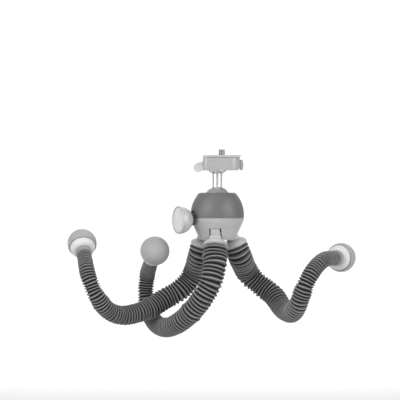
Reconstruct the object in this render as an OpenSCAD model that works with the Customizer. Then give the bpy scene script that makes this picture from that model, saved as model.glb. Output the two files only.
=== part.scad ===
// Flexible leg tripod: three bendable sleeved legs wound round a level grip, with a ball head
// and a quick-release clamp. Millimetres, +Z up, +X along the grip, -Y towards the front.
// The origin is on the grip axis, straight under the head.

/* [Head] */
// Widest diameter of the head
head_d = 49.7; // [48:0.1:54]
// Height of the head, from the skirt's underside to the flat top
head_h = 43.6; // [42:0.1:46]
// Height of the head's underside above the grip axis
head_z = 41.7; // [41:0.1:46]
// Diameter of the skirt's underside
skirt_d = 32.4; // [31:0.1:36]
// Height of the skirt, up to the hub ring
skirt_h = 10.3; // [10:0.1:11]
// Height of skirt and hub ring together, up to the dark upper shell
base_h = 19.8; // [19:0.1:21]
// Bulge radius of the upper shell's side
cap_bulge_r = 31; // [28:1:60]
// Rounding of the upper shell's top edge
cap_edge_r = 3; // [2:0.1:4]

/* [Ball] */
// Diameter of the ball
ball_d = 24; // [23:0.1:25]
// Depth of the ball's centre under the flat top
ball_sink = 5.8; // [5:0.1:7]
// Thickness of the slip liner under the ball
liner_t = 0.8; // [0.6:0.1:1]
// Wall of the pressure cup at its floor
cup_floor_t = 2.5; // [2:0.1:3]
// Diameter of the stem
stem_d = 8.9; // [8:0.1:10]
// Top diameter of the stem's flange
flange_d = 16.8; // [15:0.1:18]
// Height of the stem's flange
flange_h = 3.8; // [3:0.1:5]
// Height of the clamp's underside above the ball's centre
clamp_lift = 26.5; // [25:0.1:30]

/* [Lock knob] */
// Diameter of the knob
knob_d = 25.9; // [24:0.1:28]
// Length of the knob
knob_len = 16.2; // [14:0.1:19]
// Depth of the knob's axis under the ball's centre
knob_sink = 19.5; // [19:0.1:20]
// Direction of the knob, turned from +X towards +Y
knob_azimuth = 205; // [200:1:210]
// Diameter of the knob's shaft
knob_shaft_d = 8; // [7:0.1:8.4]
// Diameter of the bright disc in the knob's face
knob_disc_d = 22.4; // [20:0.1:23]

/* [Clamp] */
// Width of the clamp along X
clamp_w = 34; // [33:0.1:38]
// Depth of the clamp along Y
clamp_depth = 38; // [34:0.1:44]
// Height of the clamp
clamp_h = 12; // [11.5:0.1:13.5]
// Distance of the clamp's middle from the stem, towards +X
clamp_offset = 3.7; // [3:0.1:5]
// Thickness of the clamp's front wall
front_wall = 2.6; // [2:0.1:4]
// Rounding of the clamp's corners
clamp_corner_r = 4; // [2:0.1:5]
// Height of the clamp's floor
clamp_floor = 7.8; // [7.6:0.1:8.2]
// Width of the release plate's foot at its bottom
plate_foot_w = 24.4; // [22:0.1:25]
// How far each side of the foot leans in towards its top
plate_undercut = 2.3; // [1.5:0.1:3]
// Thickness of the release plate's flange
plate_flange_t = 1; // [0.8:0.1:1.6]
// Thickness of the pad on the release plate
pad_t = 0.8; // [0.5:0.1:1.5]
// Diameter of the mounting screw's thread
screw_d = 6.35; // [6:0.05:6.5]
// Length of the mounting screw's thread, above the pad
screw_reach = 5.5; // [4:0.1:7]
// Diameter of the draw bolt
bolt_d = 4.6; // [4:0.1:4.8]
// Thickness of the cam lever
lever_t = 8.4; // [7.6:0.1:8.6]
// Width of the cam lever along Y
lever_w = 14; // [12:0.1:16]
// Distance from the lever's pin to the middle of its round end
lever_len = 6.4; // [5:0.1:10]
// Droop of the cam lever
lever_droop = 25; // [15:1:28]
// Diameter of the tension nut
nut_d = 9.6; // [8:0.1:10]
// Length of the tension nut
nut_len = 3; // [2:0.1:5]

/* [Hips] */
// Distance of the hip pins from the head's axis
hip_pin_r = 13.5; // [13:0.1:14]
// Height of the hip pins above the head's underside
hip_pin_h = 6.3; // [6:0.1:6.8]
// Diameter of the hip pins
hip_pin_d = 4; // [3:0.1:4.4]
// Radius of the round knuckle on each hip
knuckle_r = 7.2; // [6.8:0.1:7.5]
// Width of the knuckle
knuckle_w = 8.6; // [7:0.1:9]
// Width of the slots in the skirt
hip_slot_w = 11.4; // [11:0.1:12]
// Width of the neck under the knuckle
neck_w = 10.5; // [9:0.1:10.8]
// Diameter of the mushroom collar
collar_d = 22.4; // [21:0.1:23.5]
// Distance from the hip pin to the sleeve's end
hip_reach = 13.6; // [13.4:0.1:16]

// Turn of all three hips about the head's axis
hip_turn = -6; // [-9:0.5:-3]

/* [Legs] */
// Diameter of the grip circle inside the wound legs
grip_d = 33.8; // [32:0.1:36]
// Length of each sleeve
leg_len = 206; // [200:1:210]
// Diameter of the sleeve at the hip
sleeve_hip_d = 22.8; // [21:0.1:23.4]
// Diameter of the sleeve at the foot
sleeve_foot_d = 13.6; // [13.2:0.1:14.5]
// Taper law of the sleeve: 1 is a straight cone, more keeps it full for longer
sleeve_taper = 1.2; // [1:0.05:1.3]
// Diameter of the ball feet
foot_d = 27.2; // [26:0.1:28]
// Distance from the sleeve's end to the middle of the foot
foot_reach = 15.5; // [15:0.1:17]
// Width of the dark groove round the foot
foot_groove = 0.7; // [0.5:0.1:1]
// Distance of the white collar's edge from the middle of the foot
foot_seam = 4.4; // [4:0.1:5]
// Width of the rubber rim that shows round the white collar
foot_rim_t = 1.2; // [1:0.1:1.6]
// Length of the neck between the sleeve and the white collar
foot_neck_h = 5; // [4.6:0.1:5.4]

/* [Hidden] */
$fn = 64;
// Radial clearance of turning and sliding shafts
run_fit = 0.06;
// Gap between parts that move past each other
part_gap = 0.3;
// Gap between the release plate and the jaws
jaw_gap = 0.15;
// Overlap that lets a cut break cleanly through a face
cut = 1;

// Heights in the head
seam_z = head_z + skirt_h;
division_z = head_z + base_h;
top_z = head_z + head_h;
girth_z = division_z + 2.9;
shoulder_h = 3.5;
shell_slope = (head_d / 2 - skirt_d / 2) / (base_h - 1.1);

// Ball, liner and cup
ball_r = ball_d / 2;
ball_z = top_z - ball_sink;
liner_r = ball_r + run_fit + liner_t;
cup_r = liner_r + run_fit;
cup_wall = 0.1;
cup_rim_drop = 4;
liner_rim_angle = 28;
guide_r = cup_r + cup_wall + part_gap;
spigot_h = 3.5;
spigot_t = 2;
cone_h = 6;
cone_top_r = 9.5;
cone_low_r = 5;

// Lock knob
knob_z = ball_z - knob_sink;
knob_back = head_d / 2 - 0.65;
knob_pocket_r = 8.8;
knob_pocket_depth = 2.2;
knob_neck_r = 5;
knob_rim = 1.4;
knob_dome = 13.1;
knob_disc_t = 1.2;
knob_disc_sink = 0.5;
shoe_r = 3.7;
shoe_tip = 5;
shoe_back = 11.5;
shoe_bore = 8.6;
shoe_travel = 1;
thread_r = 2;
cradle_w = 9.6;
cradle_in = 9.6;

// Base screws
base_screw_r = 12.5;
base_screw_d = 3;
base_screw_head_d = 5.4;
base_screw_head_h = 3;
base_screw_top = seam_z + 3.6;
base_screw_angles = [for (a = [90, 210, 330]) a + hip_turn];
screw_boss_r = 2.8;

// Clamp
clamp_z = ball_z + clamp_lift;
clamp_top = clamp_z + clamp_h;
floor_z = clamp_z + clamp_floor;
clamp_x0 = clamp_offset - clamp_w / 2;
clamp_x1 = clamp_offset + clamp_w / 2;
jaw_w = 3.7;
jaw_show = 1.9;
clamp_edge_r = 2.8;
jaw_x = clamp_x1 - jaw_w;
plate_z = floor_z + jaw_gap;
flange_z = clamp_top + jaw_gap;
plate_x = clamp_offset + 0.5;
plate_w = clamp_w + 0.8;
plate_y0 = -clamp_depth / 2 + front_wall + jaw_gap;
pad_z = flange_z + plate_flange_t;
screw_head_d = 13;
screw_head_h = 2.6;
screw_slot_w = 1.6;
bolt_z = clamp_z + 5;
lever_x = clamp_x0 + 1;
lever_pin_d = 3;
eye_r = 3.6;
eye_w = 6;
lobe_r = 1.5;
lobe_reach = 2.8;
jaw_travel = 0.8;
stud_r = 3;
stud_h = 2.2;

// Hips
HIP_AZIMUTH = [for (a = [270, 150, 30]) a + hip_turn];
HIP_SPLAY = [20, 17, 24];
hip_pin_z = head_z + hip_pin_h;
hip_pin_len = hip_slot_w + 8;
dome_top = knuckle_r + 1.2;
dome_top_r = 5.6;
rim_h = 1.2;
dome_h = 2.8;
neck_t = 9;
ring_gap = 0.4;
ring_h = hip_reach - dome_top - dome_h - rim_h - ring_gap;
ring_inset = 1.3;
stub_r = sleeve_hip_d / 2 - 3.9;

// Steps along the sleeve, and how many of them each section takes
SECTION_STEPS = [8, 6, 12, 6, 12, 6, 12];
steps = 62;
step_len = leg_len / steps;
ring_sides = 12;
// The sleeves leave the front hip straight; the rear ones must turn round the grip at once
HIP_RUN = [8, 1, 1];
hip_lead = 1.2;
foot_run = 14;
span_steps = 8;

// Routes of the legs round the grip, hand set. Each point is its place along the grip, its angle
// from the top over the front, and its lift off the grip in leg diameters.
FRONT_ROUTE = [
    [-3, 60, 0.1], [-7.5, 91, 0.06], [-17.5, 125, 0.1], [-31, 159, 0.33], [-45, 188.5, 0.69],
    [-56.5, 217, 1.12], [-64.5, 237, 1.1], [-67, 258, 0.85], [-65.5, 282, 0.73], [-63, 301, 0.46],
    [-56, 337, 0.15], [-56, 342, 0.18], [-52.5, 10, 0.3]
];
LEFT_ROUTE = [
    [-20, 298, 0.06], [-26, 276, 0.1], [-35.5, 257, 0.05], [-48.5, 240, 0.02], [-62, 216, 0.02],
    [-76, 191, 0.06], [-89, 172, 0.15], [-101.5, 146, 0.12], [-111.5, 110, 0.05], [-118.5, 72, 0],
    [-121.5, 36, 0.01], [-123, 0, 0.2], [-124.5, -30, 0.5]
];
RIGHT_ROUTE = [
    [25.5, 302, 0.09], [32, 281, 0.2], [43, 264, 0.2], [53, 247, 0.08], [61, 215, 0.03],
    [68.5, 176, 0], [74, 135, 0.02], [79.5, 96, 0.02], [86, 66, 0.02], [94.5, 35, 0.02],
    [102.5, 4, 0.01], [108, -30, 0.05], [111.5, -55, 0.2]
];
ROUTES = [FRONT_ROUTE, LEFT_ROUTE, RIGHT_ROUTE];

LEG_NAMES = ["front", "left", "right"];
SLEEVE_NAMES = [
    "sleeve_top", "bend_1", "sleeve_upper", "bend_2", "sleeve_lower", "bend_3", "sleeve_end"
];
LEG_PIECES = concat(["hip", "sleeve_ring", "foot_collar", "foot_cap"], SLEEVE_NAMES);
HEAD_PIECES = [
    "upper_shell", "hub_ring", "skirt", "base_screws", "hip_pins", "pressure_cup", "slip_liner",
    "ball", "stem", "lock_knob", "knob_disc", "knob_shaft", "brake_shoe", "clamp_body",
    "moving_jaw", "draw_bolt", "tension_nut", "cam_lever", "lever_pin", "release_plate",
    "plate_pad", "mounting_screw"
];

// Vectors and curves

function unit(v) = v / norm(v);

function side_of(v) = abs(v[2]) < 0.9 ? unit(cross(v, [0, 0, 1])) : unit(cross(v, [1, 0, 0]));

function spline(p0, p1, p2, p3, t) = 0.5 * (
    2 * p1
    + (p2 - p0) * t
    + (2 * p0 - 5 * p1 + 4 * p2 - p3) * t * t
    + (3 * p1 - p0 - 3 * p2 + p3) * t * t * t
);

function bezier(a, b, c, t) = (1 - t) * (1 - t) * a + 2 * t * (1 - t) * b + t * t * c;

function running_length(p) = [
    for (i = 0, s = 0; i < len(p); i = i + 1, s = s + (i < len(p) ? norm(p[i] - p[i - 1]) : 0)) s
];

// Legs: hip, route and frame at a distance s along the sleeve

function outward(k) = [cos(HIP_AZIMUTH[k]), sin(HIP_AZIMUTH[k]), 0];

function hip_dir(k) = sin(HIP_SPLAY[k]) * outward(k) + cos(HIP_SPLAY[k]) * [0, 0, -1];

function hip_at(k) = hip_pin_r * outward(k) + [0, 0, hip_pin_z];

function sleeve_start(k) = hip_at(k) + hip_reach * hip_dir(k);

function sleeve_r(s) = let (f = pow(min(max(s / leg_len, 0), 1), sleeve_taper))
    (sleeve_hip_d + (sleeve_foot_d - sleeve_hip_d) * f) / 2;

function grip_point(p, f) = let (r = grip_d / 2 + sleeve_r(f * leg_len) * (1 + 2 * p[2]))
    [p[0], -r * sin(p[1]), r * cos(p[1])];

function route_points(k) = let (route = ROUTES[k], n = len(route))
    [for (i = [0:n - 1]) grip_point(route[i], (i + 1) / (n - 1))];

// The route's knots, led by one that makes the sleeve leave the hip straight
function knots(k) = let (
    p = route_points(k),
    d = hip_dir(k),
    a = sleeve_start(k) + HIP_RUN[k] * d
) concat([p[0] - 2 * hip_lead * norm(p[0] - a) * d, a], p);

function route_line(k) = let (c = knots(k)) concat(
    [sleeve_start(k)],
    [
        for (i = [1:len(c) - 3], j = [0:span_steps - 1])
            spline(c[i - 1], c[i], c[i + 1], c[i + 2], j / span_steps)
    ]
);

// A leg that is longer than its route runs on straight
function polyline(k) = let (p = route_line(k), n = len(p))
    concat(p, [p[n - 1] + leg_len * unit(p[n - 1] - p[n - 2])]);

function track_table(k) = let (p = polyline(k), s = running_length(p))
    [for (axis = [0:2]) [for (i = [0:len(p) - 1]) [s[i], p[i][axis]]]];

TRACKS = [for (k = [0:2]) track_table(k)];

function track(k, s) = [for (axis = [0:2]) lookup(s, TRACKS[k][axis])];

straight_from = leg_len - foot_run;

function heading(k, s) = s <= HIP_RUN[k] / 2
    ? hip_dir(k)
    : let (q = min(s, straight_from)) unit(track(k, q + 1) - track(k, max(q - 1, 0)));

function leg_at(k, s) = s < 0
    ? sleeve_start(k) + s * hip_dir(k)
    : s <= straight_from
        ? track(k, s)
        : track(k, straight_from) + (s - straight_from) * heading(k, straight_from);

function carried(t) = [
    for (i = 0, u = side_of(t[0]); i < len(t); i = i + 1, u = i < len(t) ? unit(u - (u * t[i]) * t[i]) : u) u
];

STATIONS = [for (j = [0:steps]) j * step_len];
HEADINGS = [for (k = [0:2]) [for (s = STATIONS) heading(k, s)]];
NORMALS = [for (k = [0:2]) carried(HEADINGS[k])];

function ring(k, j, r) = let (
    c = leg_at(k, STATIONS[j]),
    u = NORMALS[k][j],
    w = cross(HEADINGS[k][j], u)
) [for (i = [0:ring_sides - 1]) c + r * (cos(360 * i / ring_sides) * u + sin(360 * i / ring_sides) * w)];

function steps_before(n) = n == 0 ? 0 : SECTION_STEPS[n - 1] + steps_before(n - 1);

// Middle of each bend, with the axis that straightens it when it turns by the right-hand rule
function bend_s(n) = (steps_before(2 * n + 1) + SECTION_STEPS[2 * n + 1] / 2) * step_len;

function bend_axis(k, n) = let (
    reach = SECTION_STEPS[2 * n + 1] / 2 * step_len + 2,
    s = bend_s(n)
) unit(cross(heading(k, s + reach), heading(k, s - reach)));

for (k = [0:2]) {
    echo(leg = LEG_NAMES[k], hip = hip_at(k), hip_axis = [sin(HIP_AZIMUTH[k]), -cos(HIP_AZIMUTH[k]), 0]);
    for (n = [0:2]) echo(leg = LEG_NAMES[k], bend = n + 1, at = leg_at(k, bend_s(n)), axis = bend_axis(k, n));
}
echo(ball = ball_z, screw = [plate_x, 0, pad_z + pad_t], knob = knob_z, lever = [lever_x, 0, bolt_z]);

// Shared shapes

// Places children in a hip's frame: X outward, Y along the pin, Z up
module at_hip(k) {
    translate(hip_at(k)) rotate([0, 0, HIP_AZIMUTH[k]]) children();
}

// Places children with Z pointing up the leg, away from the foot, and the pin at the origin
module along_hip(k) {
    at_hip(k) rotate([0, -HIP_SPLAY[k], 0]) children();
}

// Places children with Z along the knob's axis, away from the head
module along_knob() {
    translate([0, 0, knob_z]) rotate([0, 0, knob_azimuth]) rotate([0, 90, 0]) children();
}

// Places children at the end of a leg, with Z pointing out of the sleeve
module at_foot(k) {
    v = heading(k, leg_len);
    translate(leg_at(k, leg_len)) rotate([0, acos(v[2]), atan2(v[1], v[0])]) children();
}

// A cylinder along Y, centred on the origin
module cross_pin(r, len) {
    rotate([90, 0, 0]) cylinder(r = r, h = len, center = true);
}

// A cylinder along X, from x0 to x1
module x_rod(r, x0, x1) {
    translate([x0, 0, 0]) rotate([0, 90, 0]) cylinder(r = r, h = x1 - x0);
}

function shell_r(z) = skirt_d / 2 + (z - head_z) * shell_slope;

// Cone of the skirt and the hub ring, carried on past both of its ends
module shell_cone(inset) {
    translate([0, 0, head_z - cut])
        cylinder(r1 = shell_r(head_z - cut) - inset, r2 = shell_r(division_z) - inset, h = base_h + cut);
}

// Room that the three hips turn in
module hip_slots() {
    for (k = [0:2]) at_hip(k) {
        cross_pin(knuckle_r + part_gap, hip_slot_w);
        translate([-knuckle_r - part_gap, -hip_slot_w / 2, -hip_pin_h - cut])
            cube([head_d, hip_slot_w, hip_pin_h + cut]);
    }
}

module knob_bores() {
    along_knob() {
        translate([0, 0, cradle_in - cut]) cylinder(r = knob_shaft_d / 2 + run_fit, h = head_d);
        translate([0, 0, head_d / 2 - knob_pocket_depth]) cylinder(r = knob_pocket_r, h = head_d);
    }
}

// Tapped holes and head recesses of the base screws
module screw_cuts(r, head_r) {
    for (a = base_screw_angles) rotate([0, 0, a]) translate([base_screw_r, 0, head_z]) {
        translate([0, 0, -cut]) cylinder(r = head_r, h = base_screw_head_h + cut + run_fit);
        cylinder(r = r, h = base_screw_top - head_z + run_fit);
    }
}

// Head

function cap_r(z) = head_d / 2 - cap_bulge_r + sqrt(cap_bulge_r * cap_bulge_r - pow(z - girth_z, 2));

module upper_shell() {
    edge_z = top_z - cap_edge_r;
    side = [for (i = [0:8]) let (z = division_z + i / 8 * (edge_z - division_z)) [cap_r(z), z]];
    edge = [for (a = [15:15:90]) [cap_r(edge_z) - cap_edge_r * (1 - cos(a)), edge_z + cap_edge_r * sin(a)]];
    color("dimgray") difference() {
        rotate_extrude() polygon(concat([[0, division_z]], side, edge, [[0, top_z]]));
        translate([0, 0, ball_z]) sphere(r = ball_r + part_gap);
        translate([0, 0, division_z - cut]) cylinder(r = guide_r, h = ball_z - division_z + cut);
        translate([0, 0, division_z - cut])
            cylinder(r = guide_r + spigot_t + run_fit, h = spigot_h + cut + run_fit);
        knob_bores();
    }
}

module hub_ring() {
    low = seam_z - cut;
    foot = [shell_r(division_z - shoulder_h), division_z - shoulder_h];
    brow = [cap_r(division_z), division_z];
    turn = [brow[0] - 0.1, foot[1] + (brow[0] - 0.1 - foot[0]) / shell_slope];
    side = [for (i = [0:5]) bezier(foot, turn, brow, i / 5)];
    color("lightgray") difference() {
        union() {
            difference() {
                union() {
                    rotate_extrude() polygon(concat([[0, low], [shell_r(low), low]], side, [[0, division_z]]));
                    translate([0, 0, division_z]) cylinder(r = guide_r + spigot_t, h = spigot_h);
                }
                translate([0, 0, low - cut]) cylinder(r = guide_r, h = base_h + spigot_h);
            }
            rotate([0, 0, knob_azimuth]) translate([cradle_in, -cradle_w / 2, low])
                cube([guide_r + spigot_t / 2 - cradle_in, cradle_w, division_z - low - 0.5]);
            for (a = base_screw_angles) rotate([0, 0, a]) translate([base_screw_r, 0, low])
                cylinder(r = screw_boss_r, h = base_screw_top - low + 1);
        }
        translate([0, 0, low - cut]) cylinder(r = head_d, h = 2 * cut);
        hip_slots();
        knob_bores();
        screw_cuts(base_screw_d / 2 + run_fit, base_screw_d / 2 + run_fit);
    }
}

module skirt() {
    color("lightgray") difference() {
        translate([0, 0, head_z]) cylinder(r1 = skirt_d / 2, r2 = shell_r(seam_z), h = skirt_h);
        hip_slots();
        for (k = [0:2]) at_hip(k) {
            translate([0, -hip_slot_w / 2, -cut]) cube([head_d, hip_slot_w, skirt_h]);
            cross_pin(hip_pin_d / 2 + run_fit, hip_pin_len + run_fit);
        }
        screw_cuts(base_screw_d / 2 + run_fit, base_screw_head_d / 2 + run_fit);
        knob_bores();
    }
}

module base_screws() {
    color("darkgray") for (a = base_screw_angles) rotate([0, 0, a]) translate([base_screw_r, 0, head_z]) {
        difference() {
            cylinder(d = base_screw_head_d, h = base_screw_head_h);
            translate([0, 0, -cut]) cylinder(d = base_screw_d, h = base_screw_head_h / 2 + cut, $fn = 6);
        }
        translate([0, 0, base_screw_head_h])
            cylinder(d = base_screw_d, h = base_screw_top - head_z - base_screw_head_h);
    }
}

module hip_pins() {
    color("silver") for (k = [0:2]) at_hip(k) cross_pin(hip_pin_d / 2, hip_pin_len);
}

// Ball and its brake

module pressure_cup() {
    floor_at = ball_z - cup_r - cup_floor_t;
    color("whitesmoke") difference() {
        union() {
            translate([0, 0, floor_at]) cylinder(r = cup_r + cup_wall, h = ball_z - cup_rim_drop - floor_at);
            translate([0, 0, floor_at - cone_h]) cylinder(r1 = cone_low_r, r2 = cone_top_r, h = cone_h);
        }
        translate([0, 0, ball_z]) sphere(r = cup_r);
    }
}

module slip_liner() {
    color("white") difference() {
        translate([0, 0, ball_z]) sphere(r = liner_r);
        translate([0, 0, ball_z]) sphere(r = ball_r + run_fit);
        translate([0, 0, ball_z - ball_r * sin(liner_rim_angle)]) cylinder(r = ball_d, h = 2 * ball_d);
    }
}

module ball() {
    color("gray") difference() {
        translate([0, 0, ball_z]) sphere(r = ball_r);
        translate([0, 0, ball_z]) cylinder(d = stem_d, h = ball_d);
    }
}

module stem() {
    color("gainsboro") {
        translate([0, 0, ball_z]) cylinder(d = stem_d, h = clamp_lift - flange_h);
        translate([0, 0, clamp_z - flange_h]) rotate_extrude() polygon([
            [0, 0], [stem_d / 2, 0], [stem_d / 2 + 1, 0.5], [flange_d / 2 - 1.4, flange_h - 1.8],
            [flange_d / 2, flange_h - 0.8], [flange_d / 2, flange_h], [0, flange_h]
        ]);
        translate([0, 0, clamp_z]) cylinder(r = stud_r, h = stud_h);
    }
}

module lock_knob() {
    r = knob_d / 2;
    low = asin(knob_neck_r / r);
    turns = [for (i = [0:9]) low + (90 - low) * i / 9];
    back = [for (a = turns) [r * sin(a), knob_len - knob_rim - knob_dome * cos(a)]];
    color("silver") along_knob() translate([0, 0, knob_back]) difference() {
        rotate_extrude() polygon(concat(
            [[0, 0], [knob_neck_r, 0]], back,
            [[r, knob_len - 1.2], [r - 0.35, knob_len - 0.35], [r - 1.2, knob_len], [0, knob_len]]
        ));
        translate([0, 0, knob_len - knob_disc_sink - knob_disc_t])
            cylinder(d = knob_disc_d + 2 * run_fit, h = knob_len);
        translate([0, 0, -cut]) cylinder(d = knob_shaft_d, h = knob_len / 2 + cut);
    }
}

module knob_disc() {
    color("gainsboro") along_knob() translate([0, 0, knob_back + knob_len - knob_disc_sink - knob_disc_t])
        cylinder(d = knob_disc_d, h = knob_disc_t);
}

// The shaft turns in place, and its thread draws the shoe along
module knob_shaft() {
    shoulder = shoe_back + shoe_travel + part_gap;
    tip = shoe_bore + shoe_travel + part_gap;
    color("darkgray") along_knob() {
        translate([0, 0, shoulder]) cylinder(d = knob_shaft_d, h = knob_back + knob_len / 2 - shoulder);
        translate([0, 0, tip]) cylinder(r = thread_r, h = shoulder - tip);
    }
}

module brake_shoe() {
    gap = 2 * run_fit;
    floor_at = ball_z - cup_r - cup_floor_t;
    color("tan") difference() {
        along_knob() translate([0, 0, shoe_tip]) cylinder(r = shoe_r, h = shoe_back - shoe_tip);
        along_knob() translate([0, 0, shoe_bore]) cylinder(r = thread_r + run_fit, h = shoe_back);
        translate([0, 0, floor_at - cone_h - gap])
            cylinder(r1 = cone_low_r + gap, r2 = cone_top_r + gap, h = cone_h);
        translate([0, 0, floor_at - gap]) cylinder(r = guide_r, h = cone_h);
        translate([0, 0, floor_at - 3 * cone_h]) cylinder(r = cone_low_r + gap, h = 2 * cone_h);
    }
}

// Clamp

// Plan of the clamp, with its corners rounded
module clamp_plan(x0, x1, y0, y1, r) {
    translate([x0 + r, y0]) square([x1 - x0 - 2 * r, y1 - y0]);
    translate([x0, y0 + r]) square([x1 - x0, y1 - y0 - 2 * r]);
    for (x = [x0 + r, x1 - r], y = [y0 + r, y1 - r]) translate([x, y]) circle(r = r);
}

// Block of the clamp from x0 to x1, with its lower right edge rounded
module clamp_block(x0, x1) {
    y1 = clamp_depth / 2;
    r = clamp_edge_r;
    intersection() {
        translate([0, 0, clamp_z]) linear_extrude(clamp_h) clamp_plan(x0, x1, -y1, y1, clamp_corner_r);
        translate([0, y1, clamp_z]) rotate([90, 0, 0]) linear_extrude(clamp_depth) {
            translate([x0, 0]) square([x1 - x0 - r, clamp_h]);
            translate([x0, r]) square([x1 - x0, clamp_h - r]);
            translate([x1 - r, r]) circle(r = r);
        }
    }
}

// Section of the release plate's foot, grown all round by a gap
module foot_section(gap) {
    w = plate_foot_w / 2 + gap;
    top = flange_z - plate_z;
    polygon([[-w, -gap], [w, -gap], [w - plate_undercut, top], [plate_undercut - w, top]]);
}

// Channel for the foot, cut through from front wall to back
module foot_channel(gap) {
    translate([plate_x, clamp_depth, plate_z]) rotate([90, 0, 0])
        linear_extrude(clamp_depth - plate_y0 + jaw_gap) foot_section(gap);
}

module clamp_body() {
    y1 = clamp_depth / 2;
    slot_depth = lever_x - clamp_x0 + lobe_reach + lobe_r + part_gap;
    color("silver") difference() {
        clamp_block(clamp_x0, clamp_x1 - jaw_show);
        foot_channel(jaw_gap);
        translate([jaw_x, -y1 + front_wall, clamp_z - cut]) cube([clamp_w, clamp_depth, clamp_h + 2 * cut]);
        translate([plate_x, -y1 + front_wall, floor_z]) cube([clamp_w, clamp_depth, clamp_h]);
        translate([clamp_x0 - cut, -lever_w / 2 - part_gap, clamp_z - cut])
            cube([slot_depth + cut, lever_w + 2 * part_gap, bolt_z - clamp_z + lever_t / 2 + part_gap + cut]);
        translate([0, 0, bolt_z]) x_rod(bolt_d / 2 + run_fit, clamp_x0, clamp_x1);
        translate([0, 0, clamp_z - cut]) cylinder(r = stud_r, h = stud_h + cut);
    }
}

module moving_jaw() {
    y0 = -clamp_depth / 2 + front_wall + jaw_gap;
    color("silver") difference() {
        intersection() {
            clamp_block(clamp_x0, clamp_x1);
            union() {
                translate([jaw_x + jaw_gap, y0, clamp_z]) cube([clamp_w, clamp_depth, clamp_h]);
                translate([plate_x + plate_foot_w / 2 - plate_undercut - jaw_gap, y0, floor_z + jaw_gap])
                    cube([clamp_w, clamp_depth, clamp_h]);
            }
        }
        foot_channel(jaw_gap);
        translate([0, 0, bolt_z]) x_rod(bolt_d / 2 + run_fit, 0, 2 * clamp_x1);
    }
}

module draw_bolt() {
    color("darkgray") translate([0, 0, bolt_z]) difference() {
        union() {
            translate([lever_x, 0, 0]) cross_pin(eye_r, eye_w);
            x_rod(bolt_d / 2, lever_x, clamp_x1 + nut_len + 0.4);
        }
        translate([lever_x, 0, 0]) cross_pin(lever_pin_d / 2 + run_fit, 2 * eye_w);
    }
}

module tension_nut() {
    color("dimgray") translate([0, 0, bolt_z]) difference() {
        x_rod(nut_d / 2, clamp_x1 + run_fit, clamp_x1 + nut_len);
        x_rod(bolt_d / 2 + run_fit, clamp_x1 - cut, clamp_x1 + nut_len + cut);
    }
}

module cam_lever() {
    color("gainsboro") translate([lever_x, 0, bolt_z]) rotate([0, -lever_droop, 0]) difference() {
        union() {
            cross_pin(eye_r, lever_w);
            translate([-lever_len, -lever_w / 2, -lever_t / 2]) cube([lever_len - lobe_r, lever_w, lever_t]);
            translate([-lever_len, 0, 0]) cross_pin(lever_t / 2, lever_w);
            rotate([0, lever_droop, 0]) {
                translate([0, -lever_w / 2, -lobe_r]) cube([lobe_reach, lever_w, 2 * lobe_r]);
                translate([lobe_reach, 0, 0]) cross_pin(lobe_r, lever_w);
            }
        }
        translate([-eye_r - part_gap, -eye_w / 2 - part_gap, -lever_t])
            cube([2 * lever_t, eye_w + 2 * part_gap, 2 * lever_t]);
        cross_pin(lever_pin_d / 2 + run_fit, 2 * lever_w);
    }
}

module lever_pin() {
    color("silver") translate([lever_x, 0, bolt_z]) cross_pin(lever_pin_d / 2, lever_w - 1);
}

module release_plate() {
    y1 = clamp_depth / 2;
    color("silver") difference() {
        union() {
            translate([plate_x, y1, plate_z]) rotate([90, 0, 0]) linear_extrude(y1 - plate_y0) foot_section(0);
            translate([0, 0, flange_z]) linear_extrude(plate_flange_t)
                clamp_plan(plate_x - plate_w / 2, plate_x + plate_w / 2, -y1, y1, clamp_corner_r);
        }
        translate([plate_x, 0, plate_z - cut])
            cylinder(d = screw_head_d + 0.6, h = screw_head_h + part_gap + cut);
        translate([plate_x, 0, plate_z]) cylinder(r = screw_d / 2 + part_gap, h = clamp_h);
    }
}

module plate_pad() {
    y1 = clamp_depth / 2;
    color("gray") difference() {
        translate([0, 0, pad_z]) linear_extrude(pad_t)
            clamp_plan(plate_x - plate_w / 2, plate_x + plate_w / 2, -y1, y1, clamp_corner_r);
        translate([plate_x, 0, pad_z - cut]) cylinder(r = screw_d / 2 + part_gap, h = pad_t + 2 * cut);
    }
}

module mounting_screw() {
    pad_top = pad_z + pad_t - plate_z;
    color("silver") translate([plate_x, 0, plate_z]) difference() {
        union() {
            cylinder(d = screw_head_d, h = screw_head_h);
            cylinder(r = screw_d / 2 - part_gap, h = pad_top);
            translate([0, 0, pad_top]) cylinder(d = screw_d, h = screw_reach);
        }
        translate([-screw_head_d, -screw_slot_w / 2, -cut])
            cube([2 * screw_head_d, screw_slot_w, screw_head_h / 2 + cut]);
    }
}

// Legs

module hip(k) {
    rim_z = -dome_top - dome_h;
    color("white") difference() {
        union() {
            intersection() {
                at_hip(k) cross_pin(knuckle_r, knuckle_w);
                shell_cone(part_gap);
            }
            along_hip(k) translate([-neck_t / 2, -neck_w / 2, -dome_top])
                cube([neck_t, neck_w, dome_top - hip_pin_d]);
            along_hip(k) rotate_extrude() polygon([
                [0, -dome_top], [dome_top_r, -dome_top], [collar_d / 2 - 1.6, rim_z + 0.8], [collar_d / 2, rim_z],
                [collar_d / 2, rim_z - rim_h], [collar_d / 2 - 1, rim_z - rim_h - ring_gap / 2], [0, rim_z - rim_h]
            ]);
            along_hip(k) translate([0, 0, -hip_reach]) cylinder(r = stub_r, h = hip_reach - dome_top);
        }
        at_hip(k) cross_pin(hip_pin_d / 2 + run_fit, 2 * knuckle_w);
    }
}

module sleeve_ring(k) {
    ring_z = -hip_reach;
    color("gainsboro") along_hip(k) translate([0, 0, ring_z]) rotate_extrude() polygon([
        [stub_r + run_fit, 0], [sleeve_hip_d / 2 - ring_inset, 0], [sleeve_hip_d / 2 - 0.6, ring_h / 2],
        [sleeve_hip_d / 2 - ring_inset, ring_h], [stub_r + run_fit, ring_h]
    ]);
}

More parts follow.
